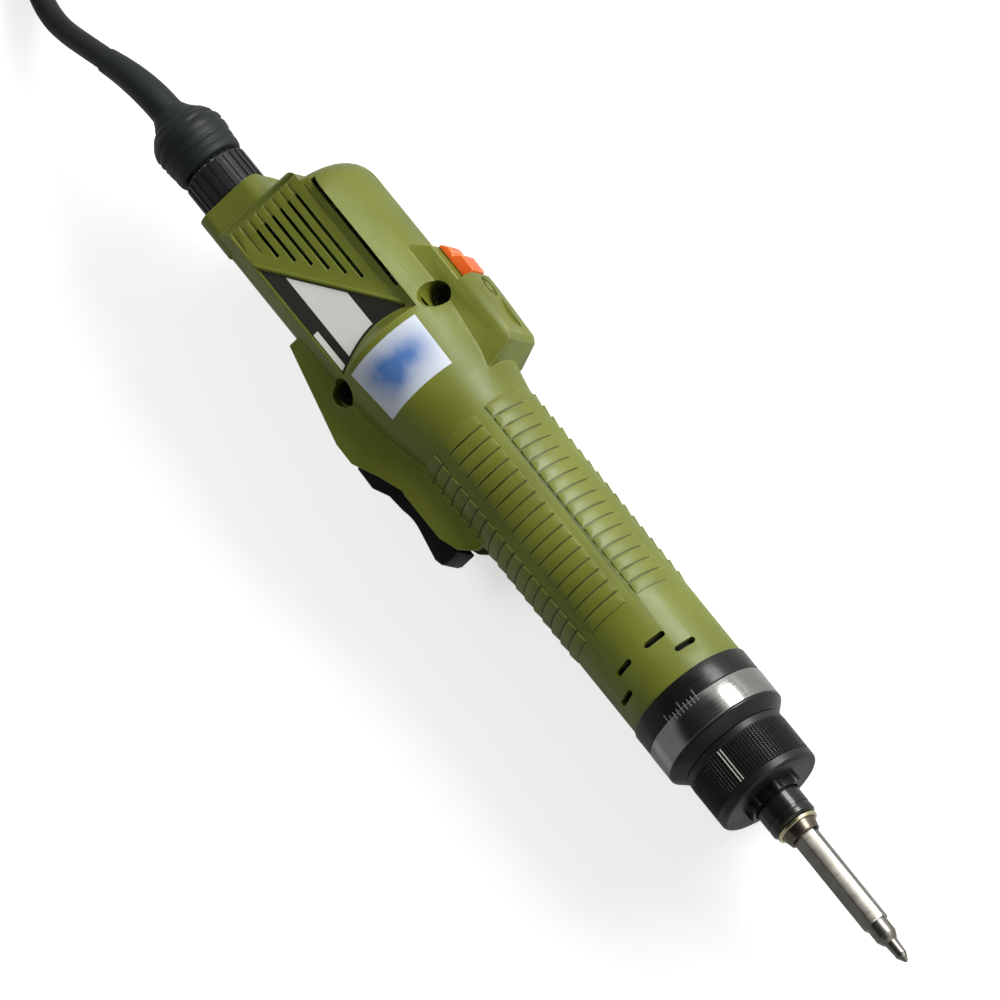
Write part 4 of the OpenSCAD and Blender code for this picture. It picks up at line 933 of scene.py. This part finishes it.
# ----------------------------------------------------------- nose collar
# Anodised collar that screws on to the shells' front edge and holds them
# and the gearbox together.
satin_black = skin(
    "satin_black", machined_skin,
    {"Colour": paint(20, 20, 18), "Stain": paint(14, 14, 12), "Roughness": 0.26},
    bump=(0.03, 0.00001), specular=0.3,
)
low, high = reach("nose_collar")
collar_r = (high.y - low.y) / 2
GAP = 0.02
COLLAR_BORE = 12.9
CASE_R = 14.6
collar = lathe(
    "front_collar",
    [
        (low.x, COLLAR_BORE), (low.x, CASE_R), (GAP, CASE_R), (GAP, collar_r),
        (high.x, collar_r), (high.x, COLLAR_BORE),
    ],
    satin_black, ease=0.3,
)
fitted(collar, "tool", "black_satin", "nose_collar")

# --------------------------------------------------------- torque barrel
# Turned and chromed sleeve with a plain engraved scale, and a black front
# band whose slope leads down to the torque ring.
chrome = skin(
    "chrome", machined_skin,
    {"Colour": paint(150, 152, 148), "Stain": paint(128, 131, 126), "Roughness": 0.17}, metal=1.0,
)
low, high = reach("torque_barrel")
barrel_r = (high.y - low.y) / 2
tube_r, tube_in = 12.5, 11.5
BAND_REAR, BARREL_END, SLOPE_END = 14.4, 15.0, 18.0
barrel = lathe(
    "chrome_sleeve",
    [
        (low.x, tube_in), (low.x, barrel_r), (BAND_REAR, barrel_r), (BAND_REAR, tube_r),
        (high.x, tube_r), (high.x, tube_in),
    ],
    chrome, ease=0.3,
)
fitted(barrel, "tool", "chrome_barrel", "torque_barrel")
band = lathe(
    "barrel_front_band",
    [
        (BAND_REAR + GAP, tube_r), (BAND_REAR + GAP, barrel_r), (BARREL_END, barrel_r),
        (SLOPE_END, 14.3), (SLOPE_END, tube_r),
    ],
    satin_black, ease=0.2,
)
fitted(band, "tool", "black_satin")

TICKS = 9
TICK_STEP = math.radians(4)
tick_paint = skin(
    "tick_paint", moulded_skin,
    {"Colour": paint(116, 120, 114), "Shade": paint(98, 102, 96), "Roughness": 0.5, "Wear": 0.3},
)
scale_marks = bmesh.new()
for k in range(TICKS):
    long_one = k % 4 == 0
    size = (3.4 if long_one else 2.2, 0.28, 0.05)
    turn = Matrix.Rotation((k - TICKS // 2) * TICK_STEP, 4, "X")
    at = Matrix.Translation((8.0 - size[0] / 2, 0, barrel_r))
    bmesh.ops.create_cube(
        scale_marks, size=1, matrix=TOOL @ turn @ at @ Matrix.Diagonal((*size, 1))
    )
fitted(shown("barrel_scale", scale_marks, tick_paint, 30), "tool", "black_satin")

# ----------------------------------------------------------- torque ring
# Black anodised ring, square knurled for grip, that screws along the barrel.
# Two pale bars run along its top, with a dark gap between them.
low, high = reach("torque_ring")
outer = (high.y - low.y) / 2
KNURL = (20.2, 30.5)
ROWS, COLUMNS = 17, 96
knurl_pitch = (KNURL[1] - KNURL[0]) / ROWS
knurled = [(low.x, 12.9), (low.x, outer - 0.1), (KNURL[0] - 0.3, outer - 0.1)]
for row in range(ROWS):
    x = KNURL[0] + row * knurl_pitch
    knurled += [(x, outer - 0.3), (x + knurl_pitch * 0.3, outer), (x + knurl_pitch * 0.7, outer)]
knurled += [(KNURL[1], outer - 0.3), (KNURL[1] + 0.3, outer)]
knurled += [
    (high.x - 1.3 + 1.3 * math.sin(a), outer - 1.3 + 1.3 * math.cos(a))
    for a in (math.radians(d) for d in range(0, 91, 15))
]
knurled += [(high.x, 7.0), (high.x - 3, 7.0), (high.x - 3, 12.9)]
ring_black = skin(
    "ring_black", machined_skin,
    {"Colour": paint(22, 22, 20), "Stain": paint(30, 30, 27), "Roughness": 0.34},
    bump=(0.04, 0.00002), specular=0.3,
)
turning = bmesh.new()
points = [turning.verts.new((x, 0, r)) for x, r in knurled]
for a, b in zip(points, points[1:] + points[:1]):
    turning.edges.new((a, b))
STEPS = COLUMNS * 4
bmesh.ops.spin(
    turning, geom=turning.verts[:] + turning.edges[:], cent=(0, 0, 0), axis=(1, 0, 0),
    angle=2 * math.pi, steps=STEPS, use_merge=True,
)
for point in turning.verts:
    if KNURL[0] < point.co.x < KNURL[1] and math.hypot(point.co.y, point.co.z) > outer - 0.2:
        column = round(math.atan2(point.co.y, point.co.z) / (2 * math.pi) * STEPS)
        if column % 4 == 2:
            point.co.yz = point.co.yz * ((outer - 0.3) / outer)
bmesh.ops.recalc_face_normals(turning, faces=turning.faces)
bmesh.ops.transform(turning, matrix=TOOL, verts=turning.verts)
fitted(shown("knurled_ring", turning, ring_black, 28), "torque_ring", "black_satin", "torque_ring")

pale_line_paint = skin(
    "pale_line_paint", moulded_skin,
    {"Colour": paint(206, 206, 200), "Shade": paint(188, 188, 180), "Roughness": 0.4, "Wear": 0.3},
)
pale_lines = bmesh.new()
for y in (-0.45, 0.45):
    bmesh.ops.create_cube(
        pale_lines, size=1,
        matrix=TOOL @ Matrix.Translation((sum(KNURL) / 2, y, outer))
        @ Matrix.Diagonal((KNURL[1] - KNURL[0] - 0.4, 0.28, 0.08, 1)),
    )
fitted(shown("ring_pale_lines", pale_lines, pale_line_paint, 30), "torque_ring", "pale_ring")
eased("lobed_hub", "ring_hub", satin_black, "black_satin", "torque_ring", 0.3)

# --------------------------------------------------------------- far plug
# The cord's other end: a moulded plug of the same make as the rear one, with
# gilt contacts and a ribbed nut.
FAR_AT = (-343.3, -35, 5.05)
FAR_PLUG = TOOL @ Matrix.Translation(FAR_AT) @ Matrix.Rotation(math.radians(270), 4, "Z")
plug = lathe(
    "far_plug_body",
    [
        (-24, 0), (-24, 3.5), (-12, 4.3), (-8.5, 6.0), (-6, 6.8), (-0.3, 6.8), (-0.3, 5.6),
        (13.5, 5.6), (13.5, 0),
    ],
    black_nylon, at=FAR_PLUG, ease=0.3, closed=False,
)
fitted(plug, "tool", "black_plastic", "far_plug")
far_ring = eased("far_plug_ring", "far_plug_nut", black_nylon, "black_plastic", "far_nut", 0.15, over=40)
dress(gilt, "far_plug_pins")

# -------------------------------------------------------------- coil tie
# Woven hook and loop strap that holds the turns of the coil together.
strap_cloth, strap_shader = finish("strap_cloth", paint(36, 36, 38), 0.85)
tree = strap_cloth.node_tree
threads = tree.nodes.new("ShaderNodeTexWave")
threads.inputs["Scale"].default_value = 900
where = tree.nodes.new("ShaderNodeTexCoord")
tree.links.new(where.outputs["Object"], threads.inputs["Vector"])
tree.links.new(
    blended(tree, threads.outputs["Fac"], paint(28, 28, 30), paint(52, 52, 55)),
    strap_shader.inputs["Base Color"],
)
strap = eased("coil_strap", "coil_tie", strap_cloth, "tie", "tool", 0.25)
